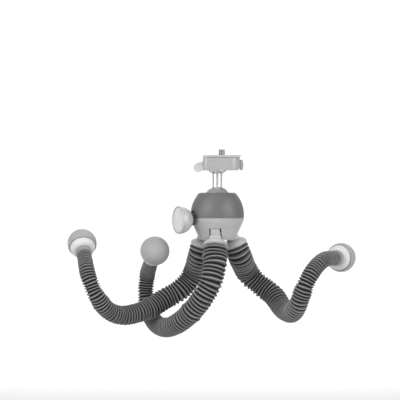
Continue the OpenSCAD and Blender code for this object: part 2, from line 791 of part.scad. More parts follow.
// One section of a leg: the plain tapering form that its sleeve fills
module sleeve(k, section) {
    first = steps_before(section);
    rows = SECTION_STEPS[section];
    m = ring_sides;
    points = [for (j = [first:first + rows]) each ring(k, j, sleeve_r(STATIONS[j]))];
    sides = [
        for (j = [0:rows - 1], i = [0:m - 1]) let (p = j * m + i, q = j * m + (i + 1) % m)
            each [[p, q, p + m], [q, q + m, p + m]]
    ];
    ends = [for (i = [1:m - 2]) each [[0, i + 1, i], [rows * m, rows * m + i, rows * m + i + 1]]];
    color("slategray") polyhedron(points = points, faces = concat(sides, ends));
}

module foot_collar(k) {
    seam = foot_reach - foot_seam;
    lip_r = sleeve_foot_d / 2;
    seam_r = sqrt(pow(foot_d / 2, 2) - pow(foot_seam, 2)) - foot_rim_t;
    neck = [lip_r + 0.6, foot_neck_h];
    bell = [for (i = [0:6]) bezier(neck, [seam_r, foot_neck_h + 0.6], [seam_r, seam], i / 6)];
    color("white") at_foot(k) {
        rotate_extrude() polygon(concat([[0, 0], [lip_r, 0], [lip_r + 0.6, 0.6]], bell, [[0, seam]]));
        translate([0, 0, seam]) cylinder(r = foot_d / 4, h = foot_seam);
    }
}

module foot_cap(k) {
    seam = foot_reach - foot_seam + foot_groove;
    color("lightgray") at_foot(k) difference() {
        translate([0, 0, foot_reach]) sphere(d = foot_d);
        translate([0, 0, seam - foot_d]) cylinder(d = 2 * foot_d, h = foot_d);
        cylinder(r = foot_d / 4 + run_fit, h = foot_reach + run_fit);
    }
}

upper_shell();
hub_ring();
skirt();
base_screws();
hip_pins();
pressure_cup();
slip_liner();
ball();
stem();
lock_knob();
knob_disc();
knob_shaft();
brake_shoe();
clamp_body();
moving_jaw();
draw_bolt();
tension_nut();
cam_lever();
lever_pin();
release_plate();
plate_pad();
mounting_screw();
for (k = [0:2]) {
    name = LEG_NAMES[k];
    hip(k);
    sleeve_ring(k);
    foot_collar(k);
    foot_cap(k);
    for (n = [0:6]) sleeve(k, n);
}
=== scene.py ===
"""Flexible leg tripod, wound round a level grip, dressed for a studio picture.

Metres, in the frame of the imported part: +Z up, +X along the grip, -Y towards the camera.
"""

import logging
import math
from collections.abc import Sequence
from dataclasses import dataclass, field
from enum import Enum

import bmesh
import bpy
from mathutils import Matrix, Vector


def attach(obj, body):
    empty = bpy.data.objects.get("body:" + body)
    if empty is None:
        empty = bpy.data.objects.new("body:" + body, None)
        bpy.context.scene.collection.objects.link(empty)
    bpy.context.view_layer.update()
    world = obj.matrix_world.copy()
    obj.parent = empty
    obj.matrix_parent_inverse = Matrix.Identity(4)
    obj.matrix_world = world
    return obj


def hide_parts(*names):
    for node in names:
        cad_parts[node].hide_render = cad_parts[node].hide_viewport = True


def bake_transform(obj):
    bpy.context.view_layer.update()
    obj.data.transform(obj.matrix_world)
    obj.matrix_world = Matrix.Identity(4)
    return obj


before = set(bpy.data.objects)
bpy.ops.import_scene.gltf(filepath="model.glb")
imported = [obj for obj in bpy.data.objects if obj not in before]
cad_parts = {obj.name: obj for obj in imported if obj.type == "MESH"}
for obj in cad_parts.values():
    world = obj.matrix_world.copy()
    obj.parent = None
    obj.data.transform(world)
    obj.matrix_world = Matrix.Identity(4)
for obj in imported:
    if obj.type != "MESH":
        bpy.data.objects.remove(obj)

LOG = logging.getLogger("tripod")
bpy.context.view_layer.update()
MM = 0.001
FULL_TURN = 2 * math.pi
UPRIGHT = Matrix.Identity(4)
WELD = 2e-6  # metres between points that become one
SLIVER = 1e-6  # metres, the length of an edge that is dropped
FLAT = 1.0  # degrees between faces that become one
BEVEL_ANGLE = 38.0  # degrees; sharper edges are rounded
BEVEL_STEPS = 3
SIDE_SHARE = 0.49  # share of a profile's side that one rounding may take
POLE_R = 1e-6  # millimetres; a profile's point nearer to the axis is a pole
LAST_RING = 88  # degrees from a ball's middle to the last ring before its pole
FIT_GAP = 0.06  # millimetres between a piece and what it sits on
NOISE_SPAN = (0.3, 0.7)  # values that noise seldom leaves
MOTTLE_SIZE = 14.0  # millimetres
SPECK_SIZE = 1.1  # millimetres
PATCH_SIZE = 9.0  # millimetres
BUMP_STRENGTH = 0.6

Pair = tuple[float, float]
Point = tuple[float, float, float]
Profile = list[Pair]
Piece = bpy.types.Object
Socket = bpy.types.NodeSocket
Sockets = bpy.types.bpy_prop_collection


class Leg(Enum):
    """The three legs, each with its place in the table of routes."""

    FRONT = "front"
    LEFT = "left"
    RIGHT = "right"


class Shade(Enum):
    """Greys of the finishes, as linear reflectance."""

    CAP = 0.175
    SHELL = 0.520
    HIP = 0.600
    BELL = 0.800
    KNOB = 0.650
    FACE = 0.900
    # painted shadow: the knob's neck is near black to stand in for the shade in the cap's pocket
    KNOB_NECK = 0.060
    CLAMP = 0.500
    PLATE = 0.740
    LEVER = 0.840
    FOOT = 0.450
    NECK = 0.340
    SLEEVE = 0.115
    NUT = 0.520
    STEEL = 0.560
    CHROME = 0.950
    FLANGE = 0.950
    BALL = 0.620
    PAD = 0.600
    WHITE = 0.780


# Small tools for meshes


def link(name: str, data: bpy.types.ID) -> Piece:
    """Puts a mesh, light or camera into the scene as a new object, and returns it."""
    obj = bpy.data.objects.new(name, data)
    bpy.context.scene.collection.objects.link(obj)
    return obj


def solid(name: str, bm: bmesh.types.BMesh) -> Piece:
    """Turns a finished bmesh into a new object.

    Args:
        name: the new object's name.
        bm: its mesh, which is freed.

    Returns:
        The new object.
    """
    mesh = bpy.data.meshes.new(name)
    bm.to_mesh(mesh)
    bm.free()
    return link(name, mesh)


def smooth(mesh: bpy.types.Mesh, angle: float = 32.0) -> None:
    """Shades a mesh smooth, with the edges sharper than angle degrees kept crisp."""
    mesh.polygons.foreach_set("use_smooth", [True] * len(mesh.polygons))
    mesh.set_sharp_from_angle(angle=math.radians(angle))
    mesh.update()


def filleted(corners: Sequence[Point], steps: int = 5) -> Profile:
    """Rounds the corners of an open profile.

    Args:
        corners: radius, height and rounding of each corner, in millimetres.
        steps: pieces in each rounding.

    Returns:
        The profile's points as radius and height, in millimetres.
    """
    points: Profile = []
    for i, (r, z, f) in enumerate(corners):
        if f <= 0 or i in (0, len(corners) - 1):
            points.append((r, z))
            continue
        here = Vector((r, z))
        before = Vector(corners[i - 1][:2]) - here
        after = Vector(corners[i + 1][:2]) - here
        cut = min(f, SIDE_SHARE * before.length, SIDE_SHARE * after.length)
        a, c = here + before.normalized() * cut, here + after.normalized() * cut
        for j in range(steps + 1):
            t = j / steps
            p = a * (1 - t) ** 2 + here * (2 * t * (1 - t)) + c * t * t
            points.append((p.x, p.y))
    return points


def arc(radius: float, z: float, start: float, end: float, steps: int) -> Profile:
    """Points of a circle round the axis point at height z, from start to end degrees above level."""
    turns = [math.radians(start + (end - start) * i / steps) for i in range(steps + 1)]
    return [(radius * math.cos(a), z + radius * math.sin(a)) for a in turns]


def curve(start: Pair, pull: Pair, end: Pair, steps: int) -> Profile:
    """A smooth curve from start to end, drawn towards the pull point.

    Args:
        start: its first point, as radius and height.
        pull: the point that it bends towards.
        end: its last point.
        steps: how many straight pieces it has.

    Returns:
        Its points.
    """
    points = []
    for i in range(steps + 1):
        t = i / steps
        a, b, c = (1 - t) ** 2, 2 * t * (1 - t), t * t
        points.append(tuple(a * p + b * q + c * r for p, q, r in zip(start, pull, end)))
    return points


def skin(bm: bmesh.types.BMesh, rows: Sequence[list[bmesh.types.BMVert]], ring: bool = False) -> None:
    """Joins rows of points round an axis with faces.

    Args:
        bm: the mesh that holds the points.
        rows: rows of equally many points, or of one point for a pole.
        ring: joins the last row to the first, for a solid with a bore.
    """
    pairs = list(zip(rows, rows[1:]))
    if ring:
        pairs.append((rows[-1], rows[0]))
    for low, high in pairs:
        sides = max(len(low), len(high))
        if sides == 1:
            continue
        for i in range(sides):
            j = (i + 1) % sides
            if len(low) == 1:
                bm.faces.new((low[0], high[j], high[i]))
            elif len(high) == 1:
                bm.faces.new((low[i], low[j], high[0]))
            else:
                bm.faces.new((low[i], low[j], high[j], high[i]))
    bmesh.ops.recalc_face_normals(bm, faces=bm.faces)


def lathe(
    name: str, profile: Profile, place: Matrix = UPRIGHT, sides: int = 96, ring: bool = False,
) -> Piece:
    """Turns a profile about an axis into a closed solid.

    Args:
        name: the new object's name.
        profile: radius and height of each point, in millimetres; points at radius 0 become poles.
        place: puts the turned solid, whose axis is Z, where it belongs, in metres.
        sides: faces round the axis.
        ring: joins the last point to the first, for a solid with a bore.

    Returns:
        The new object, at the origin, with its place in its mesh.
    """
    bm = bmesh.new()
    turns = [FULL_TURN * i / sides for i in range(sides)]
    rows = []
    for r, z in profile:
        if r < POLE_R:
            rows.append([bm.verts.new((0, 0, z * MM))])
        else:
            rows.append([bm.verts.new((r * MM * math.cos(a), r * MM * math.sin(a), z * MM)) for a in turns])
    skin(bm, rows, ring)
    obj = solid(name, bm)
    obj.data.transform(place)
    smooth(obj.data)
    return obj


def bake(obj: Piece) -> None:
    """Turns an object's modifiers into plain mesh.

    Args:
        obj: the object, which is changed.
    """
    bpy.context.view_layer.update()
    graph = bpy.context.evaluated_depsgraph_get()
    mesh = bpy.data.meshes.new_from_object(obj.evaluated_get(graph))
    obj.modifiers.clear()
    old = obj.data
    obj.data = mesh
    bpy.data.meshes.remove(old)


def carve(obj: Piece, tool: Piece, operation: str) -> None:
    """Cuts an object by another one.

    Args:
        obj: the object, which is changed.
        tool: what cuts it.
        operation: the kind of Boolean.
    """
    cut = obj.modifiers.new("cut", "BOOLEAN")
    cut.operation = operation
    cut.solver = "EXACT"
    cut.object = tool
    bake(obj)


def softened(node: str, name: str, edge: float, within: Piece | None = None) -> Piece:
    """A copy of a solid of the part with its edges rounded.

    Args:
        node: the solid's name in the part.
        name: the new object's name.
        edge: width of the rounding, in millimetres.
        within: a block that the copy is cut to first.

    Returns:
        The new object, at the origin.
    """
    bm = bmesh.new()
    bm.from_mesh(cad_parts[node].data)
    bmesh.ops.remove_doubles(bm, verts=bm.verts, dist=WELD)
    bmesh.ops.dissolve_degenerate(bm, edges=bm.edges, dist=SLIVER)
    bmesh.ops.dissolve_limit(bm, verts=bm.verts, edges=bm.edges, angle_limit=math.radians(FLAT))
    bmesh.ops.recalc_face_normals(bm, faces=bm.faces)
    obj = solid(name, bm)
    if within:
        carve(obj, within, "INTERSECT")
    bevel = obj.modifiers.new("edge", "BEVEL")
    bevel.width = edge * MM
    bevel.segments = BEVEL_STEPS
    bevel.limit_method = "ANGLE"
    bevel.angle_limit = math.radians(BEVEL_ANGLE)
    bake(obj)
    smooth(obj.data)
    return obj


def axes(origin: Vector, z: Vector) -> Matrix:
    """A frame at origin, in metres, whose Z points along z."""
    turn = z.to_track_quat("Z", "Y").to_matrix().to_4x4()
    return Matrix.Translation(origin) @ turn


KNOB_TURN = math.radians(205)
KNOB_AXIS = (math.cos(KNOB_TURN), math.sin(KNOB_TURN), 0.0)
KNOB_CENTRE = (0.0, 0.0, 60 * MM)
KNOB_PLACE = axes(Vector(KNOB_CENTRE), Vector(KNOB_AXIS))


# Finishes


class Graph:
    """Adds nodes to a tree and joins them."""

    def __init__(self, tree: bpy.types.NodeTree) -> None:
        """Keeps the tree that the nodes go into."""
        self.tree = tree

    def add(self, kind: str, **settings: object) -> bpy.types.Node:
        """Adds a node.

        Args:
            kind: its type.
            settings: its properties, by name.

        Returns:
            The new node.
        """
        node = self.tree.nodes.new(kind)
        for key, value in settings.items():
            setattr(node, key, value)
        return node

    def join(self, source: object, target: Socket) -> None:
        """Joins an output to an input, or sets a value on the input.

        Args:
            source: the output, or the value.
            target: the input.
        """
        if isinstance(source, Socket):
            self.tree.links.new(source, target)
        else:
            target.default_value = source

    def feed(self, node: bpy.types.Node, values: dict[str, object]) -> None:
        """Joins outputs to a node's inputs, or sets values on them, by the inputs' names."""
        for label, value in values.items():
            self.join(value, node.inputs[label])

    def math(self, operation: str, *values: object) -> Socket:
        """Adds a calculation.

        Args:
            operation: its kind.
            values: one to three outputs or numbers.

        Returns:
            Its result.
        """
        node = self.add("ShaderNodeMath", operation=operation)
        for value, socket in zip(values, node.inputs):
            self.join(value, socket)
        return node.outputs[0]

    def vector(self, operation: str, *values: object) -> Socket:
        """Adds a calculation with vectors.

        Args:
            operation: its kind.
            values: outputs or vectors, the scale given last where there is one.

        Returns:
            Its result, a vector or a number.
        """
        node = self.add("ShaderNodeVectorMath", operation=operation)
        sockets = [node.inputs[0], node.inputs["Scale"]] if operation == "SCALE" else list(node.inputs)
        for value, socket in zip(values, sockets):
            self.join(value, socket)
        return node.outputs["Value" if operation in ("DOT_PRODUCT", "LENGTH") else "Vector"]

    def spread(self, value: Socket, span: Pair, target: Pair, **settings: object) -> Socket:
        """Adds a map from one span of values to another.

        Args:
            value: what is mapped.
            span: the values that it runs between.
            target: what they become.
            settings: the node's properties, by name.

        Returns:
            The mapped value.
        """
        node = self.add("ShaderNodeMapRange", **settings)
        labels = ("Value", "From Min", "From Max", "To Min", "To Max")
        self.feed(node, dict(zip(labels, (value, *span, *target))))
        return node.outputs["Result"]


class Surface(Graph):
    """The nodes of one material."""

    def __init__(self, material: bpy.types.Material) -> None:
        """Keeps the material's shader, and the place of each of its points."""
        material.use_nodes = True
        super().__init__(material.node_tree)
        self.shader = self.tree.nodes["Principled BSDF"]
        self.place = self.add("ShaderNodeTexCoord").outputs["Object"]

    def noise(self, size: float, detail: float = 3.0) -> Socket:
        """Adds soft noise of one size, in millimetres, from 0 to 1."""
        node = self.add("ShaderNodeTexNoise")
        self.feed(node, {"Vector": self.place, "Scale": 1 / (size * MM), "Detail": detail})
        return node.outputs["Fac"]


@dataclass(frozen=True)
class Finish:
    """A surface with fine mottling, grain and wear.

    Attributes:
        name: the material's name.
        slot: the record's slot that it stands for; not used.
        shade: its grey.
        rough: its mean roughness.
        metal: how metallic it is.
        grain: size of the grain, in millimetres.
        depth: height of the grain, in millimetres.
        mottle: how far the grey varies, as a share.
        specular: strength of its gloss.
    """

    name: str
    slot: str
    shade: Shade
    rough: float = 0.5
    metal: float = 0.0
    grain: float = 0.35
    depth: float = 0.012
    mottle: float = 0.06
    specular: float = 0.5

    def tone(self, g: Surface) -> Socket:
        """The grey at each point: broad mottling with fine specks over it.

        Args:
            g: the material's nodes.

        Returns:
            The grey.
        """
        m = self.mottle
        broad = g.spread(g.noise(MOTTLE_SIZE), NOISE_SPAN, (1 - m, 1 + m))
        fine = g.spread(g.noise(SPECK_SIZE, 5.0), NOISE_SPAN, (1 - m / 2, 1 + m / 2))
        return g.math("MULTIPLY", g.math("MULTIPLY", broad, fine), self.shade.value)

    def height(self, g: Surface) -> Socket:
        """The grain's height at each point, from 0 to 1."""
        return g.noise(self.grain, 4.0)

    def roughness(self, g: Surface) -> Socket:
        """The roughness at each point: handled patches are smoother."""
        span = (self.rough * 0.85, min(self.rough * 1.15, 1.0))
        return g.spread(g.noise(PATCH_SIZE, 4.0), NOISE_SPAN, span)

    def build(self) -> bpy.types.Material:
        """Makes the material.

        Returns:
            The material, which may be there already.
        """
        made = bpy.data.materials.get(self.name)
        if made is not None:
            return made
        material = bpy.data.materials.new(self.name)
        g = Surface(material)
        tone = self.tone(g)
        colour = g.add("ShaderNodeCombineColor")
        for channel in colour.inputs:
            g.join(tone, channel)
        bump = g.add("ShaderNodeBump")
        g.feed(bump, {"Strength": BUMP_STRENGTH, "Distance": self.depth * MM, "Height": self.height(g)})
        g.feed(g.shader, {
            "Base Color": colour.outputs["Color"], "Roughness": self.roughness(g), "Metallic": self.metal,
            "Specular IOR Level": self.specular, "Normal": bump.outputs["Normal"],
        })
        return material

    def wear(self, obj: Piece) -> None:
        """Gives an object this finish."""
        obj.data.materials.clear()
        obj.data.materials.append(self.build())


@dataclass(frozen=True)
class RibRubber(Finish):
    """Rubber of the sleeves, with painted shade darkening the grooves and a painted highlight on the crests.

    Attributes:
        groove: share of the grey that is left in the grooves, as painted shade.
        crest: how many times the grey the crests have, as a painted highlight.
        flank: heights on the rib between which the painted groove shade gives way to the grey.
        highlight_band: heights between which the painted highlight comes up.
    """

    groove: float = 0.03
    crest: float = 3.0
    flank: Pair = (0.0, 0.5)
    highlight_band: Pair = (0.68, 1.0)

    def tone(self, g: Surface) -> Socket:
        """The grey at each point, by its height on the rib: painted shade in the grooves, a painted highlight
        on the crests.

        Args:
            g: the material's nodes.

        Returns:
            The grey.
        """
        rib = g.add("ShaderNodeAttribute", attribute_name="rib").outputs["Fac"]
        # painted shade: the grey drops to the groove share at the bottom of each groove
        flank = g.spread(rib, self.flank, (self.groove, 1.0), interpolation_type="SMOOTHSTEP")
        # painted highlight: the crests lighten up to crest times the grey
        pale = g.spread(rib, self.highlight_band, (0.0, self.crest - 1.0), interpolation_type="SMOOTHSTEP")
        return g.math("MULTIPLY", super().tone(g), g.math("ADD", flank, pale))


@dataclass(frozen=True)
class Turned(Finish):
    """Metal with fine turning marks round an axis.

    Attributes:
        centre: a point on the axis, in metres.
        along: the axis.
        pitch: distance between the marks, in millimetres.
        marks: height of the marks, as a share of the grain's.
    """

    centre: Point = (0.0, 0.0, 0.0)
    along: Point = (0.0, 0.0, 1.0)
    pitch: float = 0.22
    marks: float = 0.3

    def height(self, g: Surface) -> Socket:
        """Rings about the axis, broken up a little by noise.

        Args:
            g: the material's nodes.

        Returns:
            The height at each point.
        """
        arm = g.vector("SUBTRACT", g.place, self.centre)
        distance = g.vector("DOT_PRODUCT", arm, self.along)
        shift = g.vector("SCALE", self.along, distance)
        away = g.vector("LENGTH", g.vector("SUBTRACT", arm, shift))
        reach = g.math("ADD", away, distance)
        rings = g.math("SINE", g.math("MULTIPLY", reach, FULL_TURN / (self.pitch * MM)))
        return g.math("MULTIPLY_ADD", rings, self.marks, g.noise(self.grain))


class Finishes:
    """Every finish of the tripod."""

    CAP = Finish("satin_cap", "cap_plastic", Shade.CAP, rough=0.42, grain=0.28, depth=0.010, mottle=0.05)
    SHELL = Finish("light_shell", "shell_plastic", Shade.SHELL, rough=0.48, grain=0.26, depth=0.010)
    HIP = Finish("pale_hip", "collar_plastic", Shade.HIP, rough=0.4, grain=0.4, depth=0.006, mottle=0.04)
    BELL = Finish("white_bell", "collar_plastic", Shade.BELL, rough=0.36, grain=0.4, depth=0.006, mottle=0.04)
    KNOB = Turned(
        "satin_knob", "knob_metal", Shade.KNOB, rough=0.42, metal=0.25, depth=0.006, mottle=0.05,
        centre=KNOB_CENTRE, along=KNOB_AXIS, pitch=0.3,
    )
    FACE = Turned(
        "knob_disc", "knob_face", Shade.FACE, rough=0.38, metal=0.2, depth=0.006, mottle=0.05,
        centre=KNOB_CENTRE, along=KNOB_AXIS, pitch=0.24,
    )
    # painted shadow: near black, for the shade where the knob's neck sinks into the cap's pocket
    KNOB_NECK = Finish("painted_shadow_neck", "knob_metal", Shade.KNOB_NECK, rough=0.6, grain=0.3, depth=0.01)
    CLAMP = Finish("cast_clamp", "clamp_metal", Shade.CLAMP, rough=0.45, metal=0.15, grain=0.3, depth=0.014)
    PLATE = Finish("cast_plate", "clamp_metal", Shade.PLATE, rough=0.42, metal=0.15, grain=0.3, depth=0.012)
    LEVER = Finish("cast_lever", "lever_metal", Shade.LEVER, rough=0.4, metal=0.15, grain=0.3, depth=0.012)
    NUT = Finish("dark_nut", "nut_plastic", Shade.NUT, rough=0.5, grain=0.3, depth=0.012)
    CHROME = Turned(
        "bright_stem", "chrome", Shade.CHROME, rough=0.08, metal=0.5, depth=0.001, mottle=0.02, pitch=0.18,
    )
    BALL = Turned("ground_ball", "ball_metal", Shade.BALL, rough=0.3, metal=0.7, depth=0.002, pitch=0.2)
    STEEL = Turned(
        "bright_steel", "steel", Shade.STEEL, rough=0.3, metal=1.0, depth=0.003, mottle=0.05, pitch=0.3,
    )
    FLANGE = Turned(
        "turned_flange", "chrome", Shade.FLANGE, rough=0.16, metal=0.7, depth=0.003, mottle=0.04, pitch=0.24,
    )
    CUP = Finish("cup_plastic", "cup_plastic", Shade.WHITE, rough=0.5)
    PAD = Finish("rubber_pad", "pad_rubber", Shade.PAD, rough=0.75, grain=0.5, depth=0.04, mottle=0.1)
    FOOT = Finish("rubber_foot", "foot_rubber", Shade.FOOT, rough=0.62, grain=0.3, depth=0.012, mottle=0.06)
    NECK = Finish("foot_neck", "foot_rubber", Shade.NECK, rough=0.55, grain=0.3, depth=0.010, mottle=0.06)
    # the sleeve rubber carries painted shade in its grooves and a painted highlight on its crests
    SLEEVE = RibRubber(
        "rib_rubber", "sleeve_rubber", Shade.SLEEVE, rough=0.58, grain=0.25, depth=0.012, mottle=0.09,
        specular=0.25,
    )


# Sub-assemblies


class SubAssembly:
    """Pieces that are built and dressed together."""

    def build(self) -> None:
        """Makes the pieces."""
        raise NotImplementedError

    def dress(self, obj: Piece, finish: Finish, node: str, body: str) -> None:
        """Gives a piece its finish, and puts it in its node's place on a body.

        Args:
            obj: the piece.
            finish: its finish.
            node: the solid that it replaces.
            body: the body that it rides on.
        """
        finish.wear(obj)
        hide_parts(node)
        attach(obj, body)
        LOG.info("built %s", obj.name)

    def keep(self, finish: Finish, *nodes: str) -> None:
        """Gives a finish to solids that stay as they are."""
        for node in nodes:
            finish.wear(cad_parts[node])
            LOG.info("finished %s", node)


@dataclass
class HeadShells(SubAssembly):
    """The head's three shells: dark cap, hub ring and skirt. Sizes in millimetres."""

    head_d: float = 49.7
    division_z: float = 61.5
    top_z: float = 85.3
    bulge_r: float = 31.0
    girth: float = 2.9
    edge_r: float = 3.0
    rim_h: float = 0.25
    chamfer: float = 0.3
    ball_z: float = 79.5
    ball_r: float = 12.3
    guide_r: float = 13.32
    pocket_r: float = 8.8
    pocket_depth: float = 2.2
    pocket_out: float = 40.0
    bore_r: float = 4.0 + FIT_GAP
    bore_in: float = 5.0
    side_steps: int = 28
    crown_steps: int = 8
    edges: tuple[tuple[str, float], ...] = (("hub_ring", 0.4), ("skirt", 0.45))

    def cap_r(self, z: float) -> float:
        """Radius of the cap's side at a height."""
        rise = z - self.division_z - self.girth
        return self.head_d / 2 - self.bulge_r + math.sqrt(self.bulge_r**2 - rise**2)

    def cap_profile(self) -> Profile:
        """Draws the cap's section.

        Returns:
            Its points, from the lower rim over the top and down the bore.
        """
        edge, steps = self.edge_r, self.crown_steps
        crown_z = self.top_z - edge
        reach = self.bulge_r - edge
        lean = math.asin((crown_z - self.division_z - self.girth) / reach)
        crown_r = self.head_d / 2 - self.bulge_r + reach * math.cos(lean)
        low_z, high_z = self.division_z + self.rim_h, crown_z + edge * math.sin(lean)
        rises = [low_z + i / self.side_steps * (high_z - low_z) for i in range(self.side_steps + 1)]
        side = [(self.cap_r(z), z) for z in rises]
        turns = [lean + (math.pi / 2 - lean) * i / steps for i in range(1, steps + 1)]
        crown = [(crown_r + edge * math.cos(a), crown_z + edge * math.sin(a)) for a in turns]
        hole = self.top_z - self.ball_z
        lip = [(math.sqrt(self.ball_r**2 - hole**2) + self.chamfer, self.top_z)]
        socket = arc(self.ball_r, self.ball_z, math.degrees(math.asin(hole / self.ball_r)), 0, steps)
        rim_r = self.cap_r(self.division_z) - self.chamfer
        low = [(self.guide_r, self.ball_z), (self.guide_r, self.division_z), (rim_r, self.division_z)]
        return side + crown + lip + socket + low

    def build(self) -> None:
        """Makes the three shells and finishes the screws and pins."""
        cap = lathe("cap_shell", self.cap_profile(), sides=128, ring=True)
        self.pocket(cap)
        self.dress(cap, Finishes.CAP, "upper_shell", "head")
        for node, edge in self.edges:
            self.dress(softened(node, f"{node}_shell", edge), Finishes.SHELL, node, "head")
        self.keep(Finishes.STEEL, "base_screws", "hip_pins")

    def pocket(self, cap: Piece) -> None:
        """Cuts the knob's pocket and its shaft's bore into the cap.

        Args:
            cap: the cap, which is changed.
        """
        floor = self.head_d / 2 - self.pocket_depth
        profile = [
            (0, self.bore_in), (self.bore_r, self.bore_in), (self.bore_r, floor), (self.pocket_r, floor),
            (self.pocket_r, self.pocket_out), (0, self.pocket_out),
        ]
        tool = lathe("pocket_tool", profile, KNOB_PLACE, sides=64)
        carve(cap, tool, "DIFFERENCE")
        smooth(cap.data)
        bpy.data.objects.remove(tool)


@dataclass
class BallMount(SubAssembly):
    """Ball, stem, and the brake hidden under them. Sizes in millimetres."""

    ball_z: float = 79.5
    ball_r: float = 12.0
    stem_r: float = 4.7
    flange_r: float = 8.4
    flange_h: float = 3.8
    flange_step: float = 0.4
    stud_r: float = 3.0
    stud_h: float = 2.2
    clamp_z: float = 106.0
    brake_edge: float = 0.08
    ball_steps: int = 44

    def build(self) -> None:
        """Makes the ball, its stem and the brake's pieces."""
        z, r = self.ball_z, self.stem_r
        top = math.degrees(math.acos(r / self.ball_r))
        ball = [(0, z - self.ball_r)] + arc(self.ball_r, z, -LAST_RING, top, self.ball_steps)
        ball += [(r, z), (0, z)]
        self.dress(lathe("ball", ball), Finishes.BALL, "ball", "ball")
        low, high = self.clamp_z - self.flange_h, self.clamp_z
        seat, wide, stud = low + self.flange_step, self.flange_r, high + self.stud_h
        stem = [(0, z), (r, z), (r, seat), (0, seat)]
        self.dress(lathe("stem", stem), Finishes.CHROME, "stem", "ball")
        flange = filleted([
            (0, seat, 0), (r, seat, 0), (r + 1.2, low + 0.5, 0.5),
            (wide - 1.4, high - 1.8, 0.8), (wide, high - 0.9, 0.4), (wide, high, 0.15),
            (self.stud_r, high, 0), (self.stud_r, stud, 0), (0, stud, 0),
        ])
        self.dress(lathe("stem_flange", flange), Finishes.FLANGE, "stem", "ball")
        for node in ("pressure_cup", "slip_liner"):
            self.dress(softened(node, f"{node}_piece", self.brake_edge), Finishes.CUP, node, node)


@dataclass
class LockKnob(SubAssembly):
    """The lock knob, with its bright disc and its shaft. Sizes in millimetres."""

    radius: float = 12.95
    length: float = 16.2
    back: float = 24.2
    shaft_r: float = 4.0
    neck_r: float = 5.0
    rim: float = 1.4
    rim_step: float = 0.2
    rim_groove: float = 0.5
    rim_width: float = 1.55
    dome: float = 13.1
    disc_r: float = 11.2
    disc_t: float = 1.2
    disc_sink: float = 0.5
    dome_steps: int = 20

    def build(self) -> None:
        """Makes the knob, its neck painted near black as shadow, and its disc, and finishes the shaft and the
        shoe.
        """
        place = KNOB_PLACE @ Matrix.Translation((0, 0, self.back * MM))
        n, r, shaft = self.length, self.radius, self.shaft_r
        seat, top = n - self.disc_sink - self.disc_t, n - self.disc_sink
        edge, wide, deep = n - self.rim, r - self.rim_step, self.rim_groove
        low = math.asin(self.neck_r / wide)
        turns = [low + (math.pi / 2 - low) * i / self.dome_steps for i in range(self.dome_steps + 1)]
        flank = [(wide * math.sin(a), edge - deep - (self.dome - deep) * math.cos(a)) for a in turns]
        start = flank[0][1]
        rim = filleted([
            (wide - 0.3, edge - 0.35, 0.1), (r, edge, 0.2), (r, n, 0.7), (r - self.rim_width, n, 0.25),
            (self.disc_r + FIT_GAP, seat, 0), (0, seat, 0),
        ])
        bore = [(0, n / 2), (shaft, n / 2), (shaft, start)]
        self.dress(lathe("knob", bore + flank + rim, place), Finishes.KNOB, "lock_knob", "lock_knob")
        # The neck is painted near black as shadow, where it sits in the cap's pocket.
        neck = [(shaft, 0), (self.neck_r, 0), (self.neck_r, start), (shaft, start)]
        neck_piece = lathe("knob_neck", neck, place, ring=True)
        self.dress(neck_piece, Finishes.KNOB_NECK, "lock_knob", "lock_knob")
        face = filleted([
            (0, seat, 0), (self.disc_r, seat, 0), (self.disc_r, top, 0.35),
            (self.disc_r - 1.3, top - 0.12, 0.4), (0, top - 0.02, 0),
        ])
        self.dress(lathe("knob_disc_face", face, place), Finishes.FACE, "knob_disc", "lock_knob")
        self.keep(Finishes.STEEL, "knob_shaft")
        self.keep(Finishes.CUP, "brake_shoe")


